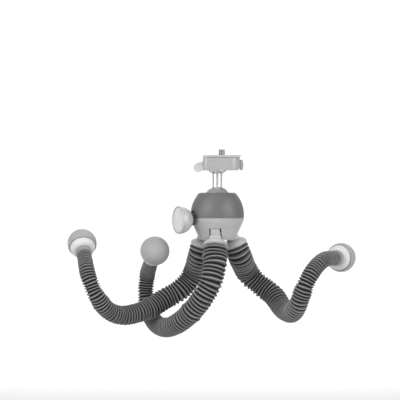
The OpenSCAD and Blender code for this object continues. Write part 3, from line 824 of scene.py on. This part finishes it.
@dataclass
class QuickClamp(SubAssembly):
    """Clamp, jaw, lever, bolt, release plate and mounting screw. Sizes in millimetres."""

    plate_x: float = 4.2
    plate_z: float = 113.95
    pad_top: float = 119.95
    head_r: float = 6.5
    head_h: float = 2.6
    head_chamfer: float = 0.4
    shank_r: float = 2.875
    shank_gap: float = 0.02
    thread_r: float = 3.175
    thread_len: float = 5.5
    thread_pitch: float = 1.27
    thread_depth: float = 0.62
    thread_in: float = 0.5
    thread_out: float = 0.8
    tip_cut: float = 0.5
    tip_len: float = 0.7
    thread_sides: int = 48
    rows_per_turn: int = 12
    end_x: float = 20.75
    front_y: float = -19.05
    corner_r: float = 9.0
    corner_steps: int = 16
    block_z: float = 90.0
    top_z: float = 117.6
    block_reach: float = 40.0
    softened_nodes: dict[str, tuple[str, Finish, float]] = field(default_factory=lambda: {
        "clamp_body": ("ball", Finishes.CLAMP, 0.9),
        "moving_jaw": ("clamp_jaw", Finishes.CLAMP, 0.4),
        "cam_lever": ("cam_lever", Finishes.LEVER, 0.7),
        "release_plate": ("release_plate", Finishes.PLATE, 0.3),
        "plate_pad": ("release_plate", Finishes.PAD, 0.2),
        "tension_nut": ("clamp_jaw", Finishes.NUT, 0.4),
        "draw_bolt": ("clamp_jaw", Finishes.STEEL, 0.2),
    })

    def build(self) -> None:
        """Makes the clamp's pieces."""
        block = self.block()
        for node, (body, finish, edge) in self.softened_nodes.items():
            within = block if node in ("clamp_body", "moving_jaw") else None
            self.dress(softened(node, f"{node}_piece", edge, within=within), finish, node, body)
        bpy.data.objects.remove(block)
        self.dress(self.screw(), Finishes.STEEL, "mounting_screw", "mounting_screw")
        self.keep(Finishes.STEEL, "lever_pin")

    def block(self) -> Piece:
        """Makes a block with the round front corner that body and jaw share.

        Returns:
            The block, as high as they are.
        """
        r, far = self.corner_r, self.block_reach
        x, y = self.end_x - r, self.front_y + r
        turns = [math.radians(-90 + 90 * i / self.corner_steps) for i in range(self.corner_steps + 1)]
        plan = [(-far, self.front_y)]
        plan += [(x + r * math.cos(a), y + r * math.sin(a)) for a in turns]
        plan += [(self.end_x, far), (-far, far)]
        bm = bmesh.new()
        levels = (self.block_z, self.top_z)
        low, high = ([bm.verts.new((px * MM, py * MM, z * MM)) for px, py in plan] for z in levels)
        bm.faces.new(low[::-1])
        bm.faces.new(high)
        skin(bm, (low, high))
        return solid("clamp_block", bm)

    def thread(self, z: float, share: float) -> float:
        """Works out the thread's radius.

        Args:
            z: the height.
            share: how far round the screw, as a share of a turn.

        Returns:
            The radius.
        """
        up, left = z - self.pad_top, self.pad_top + self.thread_len - z
        phase = (up / self.thread_pitch - share) % 1.0
        run = min(1.0, left / self.thread_out, up / self.thread_in + 0.2)
        tip = self.tip_cut * max(0.0, 1 - left / self.tip_len)
        return self.thread_r - self.thread_depth * (1 - abs(2 * phase - 1)) * max(run, 0.0) - tip

    def screw(self) -> Piece:
        """Makes the mounting screw, with a real thread above the pad.

        Returns:
            The new object.
        """
        sides, x = self.thread_sides, self.plate_x
        low, high = self.plate_z, self.plate_z + self.head_h
        plain = [
            (self.head_r - self.head_chamfer, low), (self.head_r, low + self.head_chamfer),
            (self.head_r, high), (self.shank_r, high), (self.shank_r, self.pad_top - self.shank_gap),
        ]
        levels = [(z, [r] * sides) for r, z in plain]
        steps = int(self.thread_len / self.thread_pitch * self.rows_per_turn)
        for k in range(steps + 1):
            z = self.pad_top + k / steps * self.thread_len
            levels.append((z, [self.thread(z, i / sides) for i in range(sides)]))
        turns = [FULL_TURN * i / sides for i in range(sides)]
        bm = bmesh.new()
        rows = [[bm.verts.new((x * MM, 0, low * MM))]]
        for z, radii in levels:
            ring = [((x + r * math.cos(a)) * MM, r * math.sin(a) * MM, z * MM) for r, a in zip(radii, turns)]
            rows.append([bm.verts.new(point) for point in ring])
        rows.append([bm.verts.new((x * MM, 0, (self.pad_top + self.thread_len) * MM))])
        skin(bm, rows)
        obj = solid("mounting_thread", bm)
        smooth(obj.data, 40)
        return obj


@dataclass(frozen=True)
class LegRoute:
    """How one leg leaves the head and winds round the grip.

    Attributes:
        azimuth: direction of its hip, in degrees from +X.
        splay: lean of its hip off the vertical, in degrees.
        run: straight run out of the hip, in millimetres.
        points: place along the grip, angle from the top over the front, and lift in leg diameters.
        fat: two ribs that stand out, as place along the sleeve and extra radius, in millimetres.
    """

    azimuth: float
    splay: float
    run: float
    points: tuple[Point, ...]
    fat: tuple[Pair, Pair]


ROUTES: dict[Leg, LegRoute] = {
    Leg.FRONT: LegRoute(264, 20, 8, (
        (-3, 60, 0.1), (-7.5, 91, 0.06), (-17.5, 125, 0.1), (-31, 159, 0.33), (-45, 188.5, 0.69),
        (-56.5, 217, 1.12), (-64.5, 237, 1.1), (-67, 258, 0.85), (-65.5, 282, 0.73), (-63, 301, 0.46),
        (-56, 337, 0.15), (-56, 342, 0.18), (-52.5, 10, 0.3),
    ), ((8.0, 1.1), (70.0, 0.8))),
    Leg.LEFT: LegRoute(144, 17, 1, (
        (-20, 298, 0.06), (-26, 276, 0.1), (-35.5, 257, 0.05), (-48.5, 240, 0.02), (-62, 216, 0.02),
        (-76, 191, 0.06), (-89, 172, 0.15), (-101.5, 146, 0.12), (-111.5, 110, 0.05), (-118.5, 72, 0.0),
        (-121.5, 36, 0.01), (-123, 0, 0.2), (-124.5, -30, 0.5),
    ), ((90.0, 0.8), (150.0, 0.5))),
    Leg.RIGHT: LegRoute(24, 24, 1, (
        (25.5, 302, 0.09), (32, 281, 0.2), (43, 264, 0.2), (53, 247, 0.08), (61, 215, 0.03),
        (68.5, 176, 0.0), (74, 135, 0.02), (79.5, 96, 0.02), (86, 66, 0.02), (94.5, 35, 0.02),
        (102.5, 4, 0.01), (108, -30, 0.05), (111.5, -55, 0.2),
    ), ((140.0, 0.7), (145.0, 0.6))),
}


@dataclass
class LegPath:
    """The middle line of one leg, from its hip to its foot. Sizes in millimetres."""

    route: LegRoute
    pin_r: float = 13.5
    pin_z: float = 48.0
    reach: float = 13.6
    grip_r: float = 16.9
    length: float = 206.0
    hip_r: float = 11.4
    foot_r: float = 6.8
    taper: float = 1.2
    lead: float = 1.2
    foot_run: float = 14.0
    steps: int = 8

    def __post_init__(self) -> None:
        """Works out the line's points and their running length."""
        a, lean = math.radians(self.route.azimuth), math.radians(self.route.splay)
        outward = Vector((math.cos(a), math.sin(a), 0))
        self.pin = outward * self.pin_r + Vector((0, 0, self.pin_z))
        self.down = outward * math.sin(lean) + Vector((0, 0, -math.cos(lean)))
        self.start = self.pin + self.down * self.reach
        self.points = self.line()
        self.lengths = [0.0]
        for p, q in zip(self.points, self.points[1:]):
            self.lengths.append(self.lengths[-1] + (q - p).length)

    def crest(self, s: float) -> float:
        """Radius of the ribs at a distance along the sleeve."""
        f = min(max(s / self.length, 0), 1) ** self.taper
        return self.hip_r + (self.foot_r - self.hip_r) * f

    def line(self) -> list[Vector]:
        """Draws the smooth line through the route's points.

        Returns:
            Its points, in millimetres.
        """
        count = len(self.route.points)
        knots = []
        for i, (x, turn, lift) in enumerate(self.route.points):
            r = self.grip_r + self.crest((i + 1) / (count - 1) * self.length) * (1 + 2 * lift)
            a = math.radians(turn)
            knots.append(Vector((x, -r * math.sin(a), r * math.cos(a))))
        first = self.start + self.down * self.route.run
        before = knots[0] - self.down * (2 * self.lead * (knots[0] - first).length)
        knots = [before, first] + knots
        points = [self.start]
        for p0, p1, p2, p3 in zip(knots, knots[1:], knots[2:], knots[3:]):
            for j in range(self.steps):
                t = j / self.steps
                points.append(0.5 * (
                    2 * p1 + (p2 - p0) * t + (2 * p0 - 5 * p1 + 4 * p2 - p3) * t**2
                    + (3 * p1 - p0 - 3 * p2 + p3) * t**3
                ))
        return points

    def on_line(self, s: float) -> Vector:
        """Finds a point of the line, without the straight end.

        Args:
            s: its distance along the line.

        Returns:
            The point, in millimetres.
        """
        i = 0
        while s > self.lengths[i + 1] and i < len(self.lengths) - 2:
            i += 1
        low, high = self.lengths[i], self.lengths[i + 1]
        return self.points[i].lerp(self.points[i + 1], (s - low) / (high - low))

    def heading(self, s: float) -> Vector:
        """Finds the leg's direction.

        Args:
            s: the distance along the leg.

        Returns:
            The direction, of length 1.
        """
        if s <= self.route.run / 2:
            return self.down.copy()
        q = min(s, self.length - self.foot_run)
        return (self.on_line(q + 1) - self.on_line(max(q - 1, 0))).normalized()

    def at(self, s: float) -> Vector:
        """Finds the leg's middle.

        Args:
            s: the distance along the leg.

        Returns:
            The point, in metres.
        """
        straight = self.length - self.foot_run
        if s <= 0:
            return (self.start + self.down * s) * MM
        if s <= straight:
            return self.on_line(s) * MM
        return (self.on_line(straight) + self.heading(straight) * (s - straight)) * MM


@dataclass
class SleeveTree:
    """Geometry nodes that sweep a ribbed, hollow sleeve along a leg's line.

    Attributes:
        name: the tree's name.
        sides: faces round the sleeve.
        rows_per_rib: rows of points along one rib.
        inner_rows: rows of points along the bore.
        seed: picks how the ribs differ in size.
        tilt: how far ribs lean, in ribs.
        drift: how fast the lean turns round the leg.
        square: how far the lean takes to come up at both ends, in millimetres.
        sharpness: how narrow the crests are.
        uneven: how far ribs differ in radius, as a share.
        fat_width: half width of a rib that stands out, in millimetres.
        nudge: keeps whole counts of ribs from falling short, in ribs.
        sizes: the inputs that are numbers.
    """

    name: str = "ribbed_sleeve"
    sides: int = 44
    rows_per_rib: int = 10
    inner_rows: int = 60
    seed: int = 7
    tilt: float = 0.12
    drift: float = 1.3
    square: float = 9.0
    sharpness: float = 1.2
    uneven: float = 0.03
    fat_width: float = 2.2
    nudge: float = 1e-4
    sizes: tuple[str, ...] = (
        "Start", "End", "Length", "Hip Radius", "Foot Radius", "Taper", "Hip Pitch", "Foot Pitch", "Groove",
        "Wall", "Fat 1", "Fat 1 Size", "Fat 2", "Fat 2 Size",
    )

    def __post_init__(self) -> None:
        """Builds the tree, with its inputs by name."""
        self.tree = bpy.data.node_groups.new(self.name, "GeometryNodeTree")
        sockets = [("Line", "Geometry")] + [(label, "Float") for label in self.sizes]
        sockets += [("Outer Rows", "Int"), ("Finish", "Material")]
        for label, kind in sockets:
            self.tree.interface.new_socket(label, in_out="INPUT", socket_type=f"NodeSocket{kind}")
        self.tree.interface.new_socket("Sleeve", in_out="OUTPUT", socket_type="NodeSocketGeometry")
        self.wire()

    def wire(self) -> None:
        """Adds the nodes and joins them."""
        g = Graph(self.tree)
        given = g.add("NodeGroupInput").outputs
        line = g.add("GeometryNodeMeshToCurve")
        g.join(given["Line"], line.inputs["Mesh"])
        outer = given["Outer Rows"]
        rows = g.math("ADD", outer, self.inner_rows + 1.0)
        grid = g.add("GeometryNodeMeshGrid")
        g.feed(grid, {"Size X": 1.0, "Size Y": 1.0, "Vertices X": rows, "Vertices Y": self.sides + 1})
        spot = g.add("ShaderNodeSeparateXYZ")
        g.join(g.add("GeometryNodeInputPosition").outputs[0], spot.inputs[0])
        along, about = (g.math("ADD", spot.outputs[axis], 0.5) for axis in "XY")
        row = g.math("ROUND", g.math("MULTIPLY", along, g.math("SUBTRACT", rows, 1.0)))
        turn = g.math("MULTIPLY", about, FULL_TURN)
        ahead = g.math("MINIMUM", g.math("DIVIDE", row, g.math("SUBTRACT", outer, 1.0)), 1.0)
        past = g.math("DIVIDE", g.math("SUBTRACT", row, outer), self.inner_rows - 1.0)
        back = g.math("MINIMUM", g.math("MAXIMUM", past, 0.0), 1.0)
        inner = g.math(
            "MULTIPLY", g.math("GREATER_THAN", row, g.math("SUBTRACT", outer, 0.5)),
            g.math("LESS_THAN", row, g.math("SUBTRACT", rows, 1.5)),
        )
        share = g.math("SUBTRACT", ahead, back)
        span = g.math("SUBTRACT", given["End"], given["Start"])
        s = g.math("MULTIPLY_ADD", share, span, given["Start"])
        at = g.add("GeometryNodeSampleCurve", mode="LENGTH", use_all_curves=True)
        g.feed(at, {"Curves": line.outputs["Curve"], "Length": s})
        crest, rib = self.ribs(g, given, s, turn)
        dip = g.math("MULTIPLY", given["Groove"], g.math("SUBTRACT", 1.0, rib))
        outside = g.math("SUBTRACT", crest, dip)
        bore = g.math("SUBTRACT", self.body(g, given, s), g.math("ADD", given["Groove"], given["Wall"]))
        radius = g.math("ADD", outside, g.math("MULTIPLY", inner, g.math("SUBTRACT", bore, outside)))
        across = g.vector("CROSS_PRODUCT", at.outputs["Tangent"], at.outputs["Normal"])
        arm = g.vector(
            "ADD", g.vector("SCALE", at.outputs["Normal"], g.math("COSINE", turn)),
            g.vector("SCALE", across, g.math("SINE", turn)),
        )
        place = g.vector("ADD", at.outputs["Position"], g.vector("SCALE", arm, radius))
        # the rib height is stored for the sleeve finish's painted groove shade and crest highlight
        store = g.add("GeometryNodeStoreNamedAttribute", data_type="FLOAT", domain="POINT")
        stages = (
            (store, {"Name": "rib", "Value": rib}),
            (g.add("GeometryNodeSetPosition"), {"Position": place}),
            (g.add("GeometryNodeMergeByDistance"), {"Distance": WELD}),
            (g.add("GeometryNodeSetShadeSmooth"), {}),
            (g.add("GeometryNodeRealizeInstances"), {}),
            (g.add("GeometryNodeSetMaterial"), {"Material": given["Finish"]}),
        )
        flow = grid.outputs["Mesh"]
        for node, values in stages:
            g.feed(node, {"Geometry": flow, **values})
            flow = node.outputs["Geometry"]
        g.join(flow, g.add("NodeGroupOutput").inputs["Sleeve"])

    def body(self, g: Graph, given: Sockets, s: Socket) -> Socket:
        """Radius of the tapering sleeve over its crests, at a distance s."""
        share = g.math("POWER", g.math("DIVIDE", s, given["Length"]), given["Taper"])
        change = g.math("SUBTRACT", given["Foot Radius"], given["Hip Radius"])
        return g.math("MULTIPLY_ADD", share, change, given["Hip Radius"])

    def ribs(self, g: Graph, given: Sockets, s: Socket, turn: Socket) -> tuple[Socket, Socket]:
        """Shapes the ribs.

        Args:
            g: the tree's nodes.
            given: the tree's inputs.
            s: the distance along the sleeve.
            turn: the angle round it.

        Returns:
            Radius of the crests, and height on the rib from groove 0 to crest 1.
        """
        pitch = given["Hip Pitch"]
        change = g.math("DIVIDE", g.math("SUBTRACT", given["Foot Pitch"], pitch), given["Length"])
        grown = g.math("ADD", g.math("DIVIDE", g.math("MULTIPLY", change, s), pitch), 1.0)
        count = g.math("DIVIDE", g.math("LOGARITHM", grown, math.e), change)
        ends = g.math("MINIMUM", s, g.math("SUBTRACT", given["Length"], s))
        free = g.math("MINIMUM", g.math("DIVIDE", ends, self.square * MM), 1.0)
        sway = g.math("SINE", g.math("MULTIPLY_ADD", count, self.drift, turn))
        count = g.math("MULTIPLY_ADD", g.math("MULTIPLY", sway, free), self.tilt, count)
        whole = g.math("ADD", count, self.nudge)
        phase = g.math("MULTIPLY", g.math("FRACT", whole), FULL_TURN)
        wave = g.math("MULTIPLY_ADD", g.math("COSINE", phase), -0.5, 0.5)
        rib = g.math("POWER", wave, self.sharpness)
        chance = g.add("ShaderNodeTexWhiteNoise", noise_dimensions="1D")
        g.join(g.math("ADD", g.math("FLOOR", whole), self.seed + 0.5), chance.inputs["W"])
        uneven = g.math("MULTIPLY_ADD", chance.outputs["Value"], self.uneven, 1 - self.uneven / 2)
        crest = g.math("MULTIPLY", self.body(g, given, s), uneven)
        for label in ("Fat 1", "Fat 2"):
            away = g.math("DIVIDE", g.math("SUBTRACT", s, given[label]), self.fat_width * MM)
            bell = g.math("POWER", math.e, g.math("MULTIPLY", g.math("MULTIPLY", away, away), -1.0))
            crest = g.math("MULTIPLY_ADD", bell, given[f"{label} Size"], crest)
        return crest, rib

    def identifiers(self) -> dict[str, str]:
        """Each input's identifier, by its name."""
        return {i.name: i.identifier for i in self.tree.interface.items_tree if i.in_out == "INPUT"}


@dataclass
class RibbedLeg(SubAssembly):
    """One leg: hip, ribbed sleeve and ball foot. Sizes in millimetres; splits and bends in ribs."""

    leg: Leg
    tree: SleeveTree
    ribs: int = 62
    splits: tuple[int, int] = (20, 38)
    bends: tuple[int, int, int] = (11, 29, 47)
    bend_half: int = 3
    hip_pitch: float = 3.9
    foot_pitch: float = 2.3
    groove: float = 1.9
    wall: float = 1.0
    hip_edge: float = 0.35
    collar_r: float = 11.2
    collar_lip: float = 0.25
    dome_top: float = 8.4
    dome_crown: float = 6.6
    dome_crown_r: float = 5.2
    dome_h: float = 2.8
    rim_h: float = 1.2
    ring_gap: float = 0.4
    ring_wall: float = 3.9
    ring_in: float = 0.15
    foot_r: float = 13.6
    foot_reach: float = 15.5
    foot_groove: float = 0.7
    foot_seam: float = 4.4
    foot_rim: float = 1.2
    foot_neck: float = 5.0
    foot_lip: float = 0.9
    neck_step: float = 0.6
    bell_gap: float = 0.3
    brim_h: float = 0.25

    def __post_init__(self) -> None:
        """Works out the leg's line, and how its ribs are spaced."""
        self.path = LegPath(ROUTES[self.leg])
        self.rib = self.path.length / self.ribs
        self.change = (self.foot_pitch - self.hip_pitch) / self.path.length

    def node(self, piece: str) -> str:
        """Name of one of this leg's solids, pieces or bodies."""
        return f"{self.leg.value}_{piece}"

    def dress(self, obj: Piece, finish: Finish, node: str, body: str) -> None:
        """Gives a piece its finish and its place, with node and body named within this leg."""
        super().dress(obj, finish, self.node(node), self.node(body))

    def build(self) -> None:
        """Makes the leg's pieces."""
        self.sleeves()
        self.hip()
        self.foot()

    def ribs_at(self, s: float) -> float:
        """Ribs before a distance along the sleeve."""
        return math.log(1 + self.change * s / self.hip_pitch) / self.change

    def groove_near(self, s: float) -> float:
        """The place of the groove nearest to a distance along the sleeve."""
        return (math.exp(round(self.ribs_at(s)) * self.change) - 1) * self.hip_pitch / self.change

    def sleeves(self) -> None:
        """Makes the sleeve in three lengths, each reaching across one joint."""
        upper, lower = (self.groove_near(count * self.rib) for count in self.splits)
        lengths = (
            (0.0, upper, ("sleeve_top", "bend_1", "sleeve_upper"), ("hip", "upper")),
            (upper, lower, ("bend_2", "sleeve_lower"), ("upper", "lower")),
            (lower, self.path.length, ("bend_3", "sleeve_end"), ("lower", "end")),
        )
        for i, (start, end, pieces, bodies) in enumerate(lengths):
            obj = self.sleeve(self.node(f"ribs_{i + 1}"), start, end)
            first, last = self.bends[i] - self.bend_half, self.bends[i] + self.bend_half
            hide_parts(*[self.node(piece) for piece in pieces])
            self.path.at(first * self.rib)
            self.path.at(last * self.rib)
            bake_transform(obj)
            LOG.info("built %s: %d faces", obj.name, len(obj.data.polygons))

    def sleeve(self, name: str, start: float, end: float) -> Piece:
        """Sweeps one length of the sleeve.

        Args:
            name: the new object's name.
            start: where it starts along the leg, in millimetres.
            end: where it ends.

        Returns:
            The new object, as plain mesh.
        """
        path = self.path
        count = int(path.length)
        line = [path.at(path.length * i / count) for i in range(count + 1)]
        mesh = bpy.data.meshes.new(name)
        mesh.from_pydata([tuple(p) for p in line], [(i, i + 1) for i in range(count)], [])
        obj = link(name, mesh)
        sweep = obj.modifiers.new("sleeve", "NODES")
        sweep.node_group = self.tree.tree
        sizes = {
            "Start": start, "End": end, "Length": path.length, "Hip Radius": path.hip_r,
            "Foot Radius": path.foot_r, "Hip Pitch": self.hip_pitch, "Foot Pitch": self.foot_pitch,
            "Groove": self.groove, "Wall": self.wall,
        }
        for label, (place, extra) in zip(("Fat 1", "Fat 2"), path.route.fat):
            sizes |= {label: place, f"{label} Size": extra}
        values = {label: size * MM for label, size in sizes.items()}
        rows = int((self.ribs_at(end) - self.ribs_at(start)) * self.tree.rows_per_rib) + 1
        values |= {"Taper": path.taper, "Outer Rows": rows, "Finish": Finishes.SLEEVE.build()}
        keys = self.tree.identifiers()
        for label, value in values.items():
            sweep[keys[label]] = value
        bake(obj)
        bm = bmesh.new()
        bm.from_mesh(obj.data)
        if bm.calc_volume(signed=True) < 0:
            bmesh.ops.reverse_faces(bm, faces=bm.faces)
            bm.to_mesh(obj.data)
        bm.free()
        smooth(obj.data, 60)
        return obj

    def hip(self) -> None:
        """Makes the hip, its mushroom collar and the ring under it."""
        hip = softened(self.node("hip"), self.node("hip_piece"), self.hip_edge)
        self.dress(hip, Finishes.HIP, "hip", "hip")
        up = axes(self.path.pin * MM, -self.path.down)
        rim, under, crown = self.collar_r + self.collar_lip, -self.dome_top - self.dome_h, -self.dome_crown
        foot = under - self.rim_h
        dome = filleted([
            (0, foot, 0), (rim - 1.0, foot, 0), (rim, foot + 0.1, 0.2), (rim, foot + 0.55, 0.15),
            (rim - 0.22, foot + 0.7, 0), (rim - 0.08, foot + 0.95, 0.1),
        ])
        dome += curve((rim - 0.15, under), (rim - 1.5, crown - 0.7), (self.dome_crown_r, crown), 12)
        dome.append((0, crown))
        self.dress(lathe(self.node("hip_dome"), dome, up), Finishes.HIP, "hip", "hip")
        low = -self.path.reach
        high = low + self.path.reach - self.dome_top - self.dome_h - self.rim_h - self.ring_gap
        crest = self.path.hip_r
        waist, bore = crest - self.groove, crest - self.ring_wall + FIT_GAP
        section = filleted([
            (bore, low, 0), (waist, low, 0.1), (crest - self.ring_in, (low + high) / 2, 0.4),
            (waist, high, 0.1), (bore, high, 0),
        ])
        ring = lathe(self.node("collar_ring"), section, up, ring=True)
        self.dress(ring, Finishes.BELL, "sleeve_ring", "hip")

    def foot(self) -> None:
        """Makes the ball foot: a neck, a pale bell and a rubber cap, with a dark groove between."""
        out = axes(self.path.at(self.path.length), self.path.heading(self.path.length))
        r, reach, end, top = self.foot_r, self.foot_reach, self.path.foot_r, self.foot_neck
        seam = reach - self.foot_seam
        dome = math.sqrt(r**2 - self.foot_seam**2) - self.foot_rim
        wide = end + self.neck_step
        neck = filleted([
            (0, 0, 0), (end - 0.2, 0, 0.1), (wide, self.neck_step, 0.3), (wide, top, 0.35), (0, top, 0),
        ])
        self.dress(lathe(self.node("foot_neck"), neck, out), Finishes.NECK, "foot_collar", "end")
        bell = [(0, top), (wide - self.bell_gap, top)]
        bell += curve((wide, top + 0.1), (dome, top + 0.6), (dome, seam - self.bell_gap), 14)
        bell += [(dome - 0.15, seam - 0.08), (dome - 0.45, seam), (r / 2, seam), (r / 2, reach), (0, reach)]
        self.dress(lathe(self.node("foot_bell"), bell, out), Finishes.BELL, "foot_collar", "end")
        edge = seam + self.foot_groove
        brim = edge - self.foot_lip
        lip = brim + self.brim_h
        low = math.degrees(math.asin((lip - reach) / r))
        rim = math.sqrt(r**2 - (brim - reach) ** 2)
        inside, bore, floor = dome + self.bell_gap, r / 2 + FIT_GAP, reach + FIT_GAP
        profile = [(0, floor), (bore, floor), (bore, edge), (inside, edge), (inside, lip)]
        profile += [(inside + 0.12, brim + 0.06), ((inside + rim) / 2, brim - 0.05)]
        profile += [(rim - 0.15, brim + 0.06), *arc(r, reach, low, LAST_RING, 48), (0, reach + r)]
        self.dress(lathe(self.node("foot_ball"), profile, out), Finishes.FOOT, "foot_cap", "end")


# Studio


@dataclass(frozen=True)
class SoftBox:
    """One soft box.

    Attributes:
        name: its name.
        place: where it stands, in metres.
        size: its width and height, in metres.
        watts: its power.
        target: the point that it is aimed at, in metres.
    """

    name: str
    place: Point
    size: Pair
    watts: float
    target: Point = (0.0, 0.0, 0.03)

    def build(self) -> None:
        """Sets up the box."""
        data = bpy.data.lights.new(self.name, "AREA")
        data.shape = "RECTANGLE"
        data.size, data.size_y = self.size
        data.energy = self.watts
        lamp = link(self.name, data)
        lamp.location = self.place
        aim = Vector(self.target) - Vector(self.place)
        lamp.rotation_euler = aim.to_track_quat("-Z", "Y").to_euler()


@dataclass
class Studio:
    """Floor, lights and camera. Sizes in metres, the picture's in pixels."""

    pixel: float = 0.927 * MM
    middle_x: float = 217.3
    middle_y: float = 284.6
    picture: int = 400
    distance: float = 3.0
    sensor: float = 36.0
    sight: float = 60.0
    floor_z: float = -0.21
    floor_near: float = -6.0
    floor_half: float = 3.0
    floor_fade: Pair = (1.0, 2.0)
    floor_greys: Pair = (0.68, 0.88)
    floor_rough: float = 0.9
    wall_y: float = 3.4
    wall_h: float = 5.0
    wall_bend: float = 0.8
    bend_steps: int = 16
    room: float = 0.25
    boxes: tuple[SoftBox, ...] = (
        SoftBox("key", (-1.75, -1.45, 1.0), (1.9, 2.2), 38),
        SoftBox("fill", (1.85, -1.5, 0.85), (1.8, 2.0), 32),
        SoftBox("top", (0.1, 0.1, 2.0), (1.6, 1.6), 6),
        SoftBox("back", (0.0, 2.6, 2.3), (2.6, 0.9), 48, (0.0, 3.3, 0.1)),
    )

    def build(self) -> None:
        """Sets up the studio."""
        self.camera()
        self.floor()
        self.lights()

    def camera(self) -> None:
        """A long lens, level with the head and square to the grip."""
        data = bpy.data.cameras.new("camera")
        data.sensor_width = self.sensor
        data.lens = self.sensor * self.distance / (self.picture * self.pixel)
        data.clip_end = self.sight
        camera = link("camera", data)
        half = self.picture / 2
        x, z = (half - self.middle_x) * self.pixel, (self.middle_y - half) * self.pixel
        camera.location = (x, -self.distance, z)
        camera.rotation_euler = (math.radians(90), 0, 0)
        bpy.context.scene.camera = camera

    def floor(self) -> None:
        """A pale floor, below the legs at their limits, that rises behind into a plain wall."""
        low, bend = self.floor_z, self.wall_bend
        start = self.wall_y - bend
        turns = [i * math.pi / (2 * self.bend_steps) for i in range(self.bend_steps + 1)]
        section = [(self.floor_near, low)]
        section += [(start + bend * math.sin(a), low + bend - bend * math.cos(a)) for a in turns]
        section.append((self.wall_y, low + self.wall_h))
        bm = bmesh.new()
        rows = [[bm.verts.new((x, y, z)) for x in (-self.floor_half, self.floor_half)] for y, z in section]
        for a, b in zip(rows, rows[1:]):
            bm.faces.new((a[0], a[1], b[1], b[0]))
        obj = solid("floor", bm)
        smooth(obj.data, 60)
        material = bpy.data.materials.new("floor")
        g = Surface(material)
        split = g.add("ShaderNodeSeparateXYZ")
        g.join(g.place, split.inputs[0])
        fade = g.spread(split.outputs["Y"], self.floor_fade, self.floor_greys)
        g.feed(g.shader, {"Base Color": fade, "Roughness": self.floor_rough})
        obj.data.materials.append(material)

    def lights(self) -> None:
        """Soft boxes at both sides and above, one on the wall, and a dim white room."""
        world = bpy.data.worlds.new("room")
        world.use_nodes = True
        backdrop = world.node_tree.nodes["Background"]
        Graph(world.node_tree).feed(backdrop, {"Color": (1, 1, 1, 1), "Strength": self.room})
        bpy.context.scene.world = world
        for box in self.boxes:
            box.build()
        bpy.context.scene.view_settings.view_transform = "Standard"


def main() -> None:
    """Dresses the whole tripod and sets up the studio."""
    logging.basicConfig(level=logging.INFO, format="%(name)s: %(message)s")
    tree = SleeveTree()
    groups: list[SubAssembly] = [HeadShells(), BallMount(), LockKnob(), QuickClamp()]
    groups += [RibbedLeg(leg, tree) for leg in Leg]
    for group in groups:
        group.build()
    Studio().build()


if __name__ == "__main__":
    main()
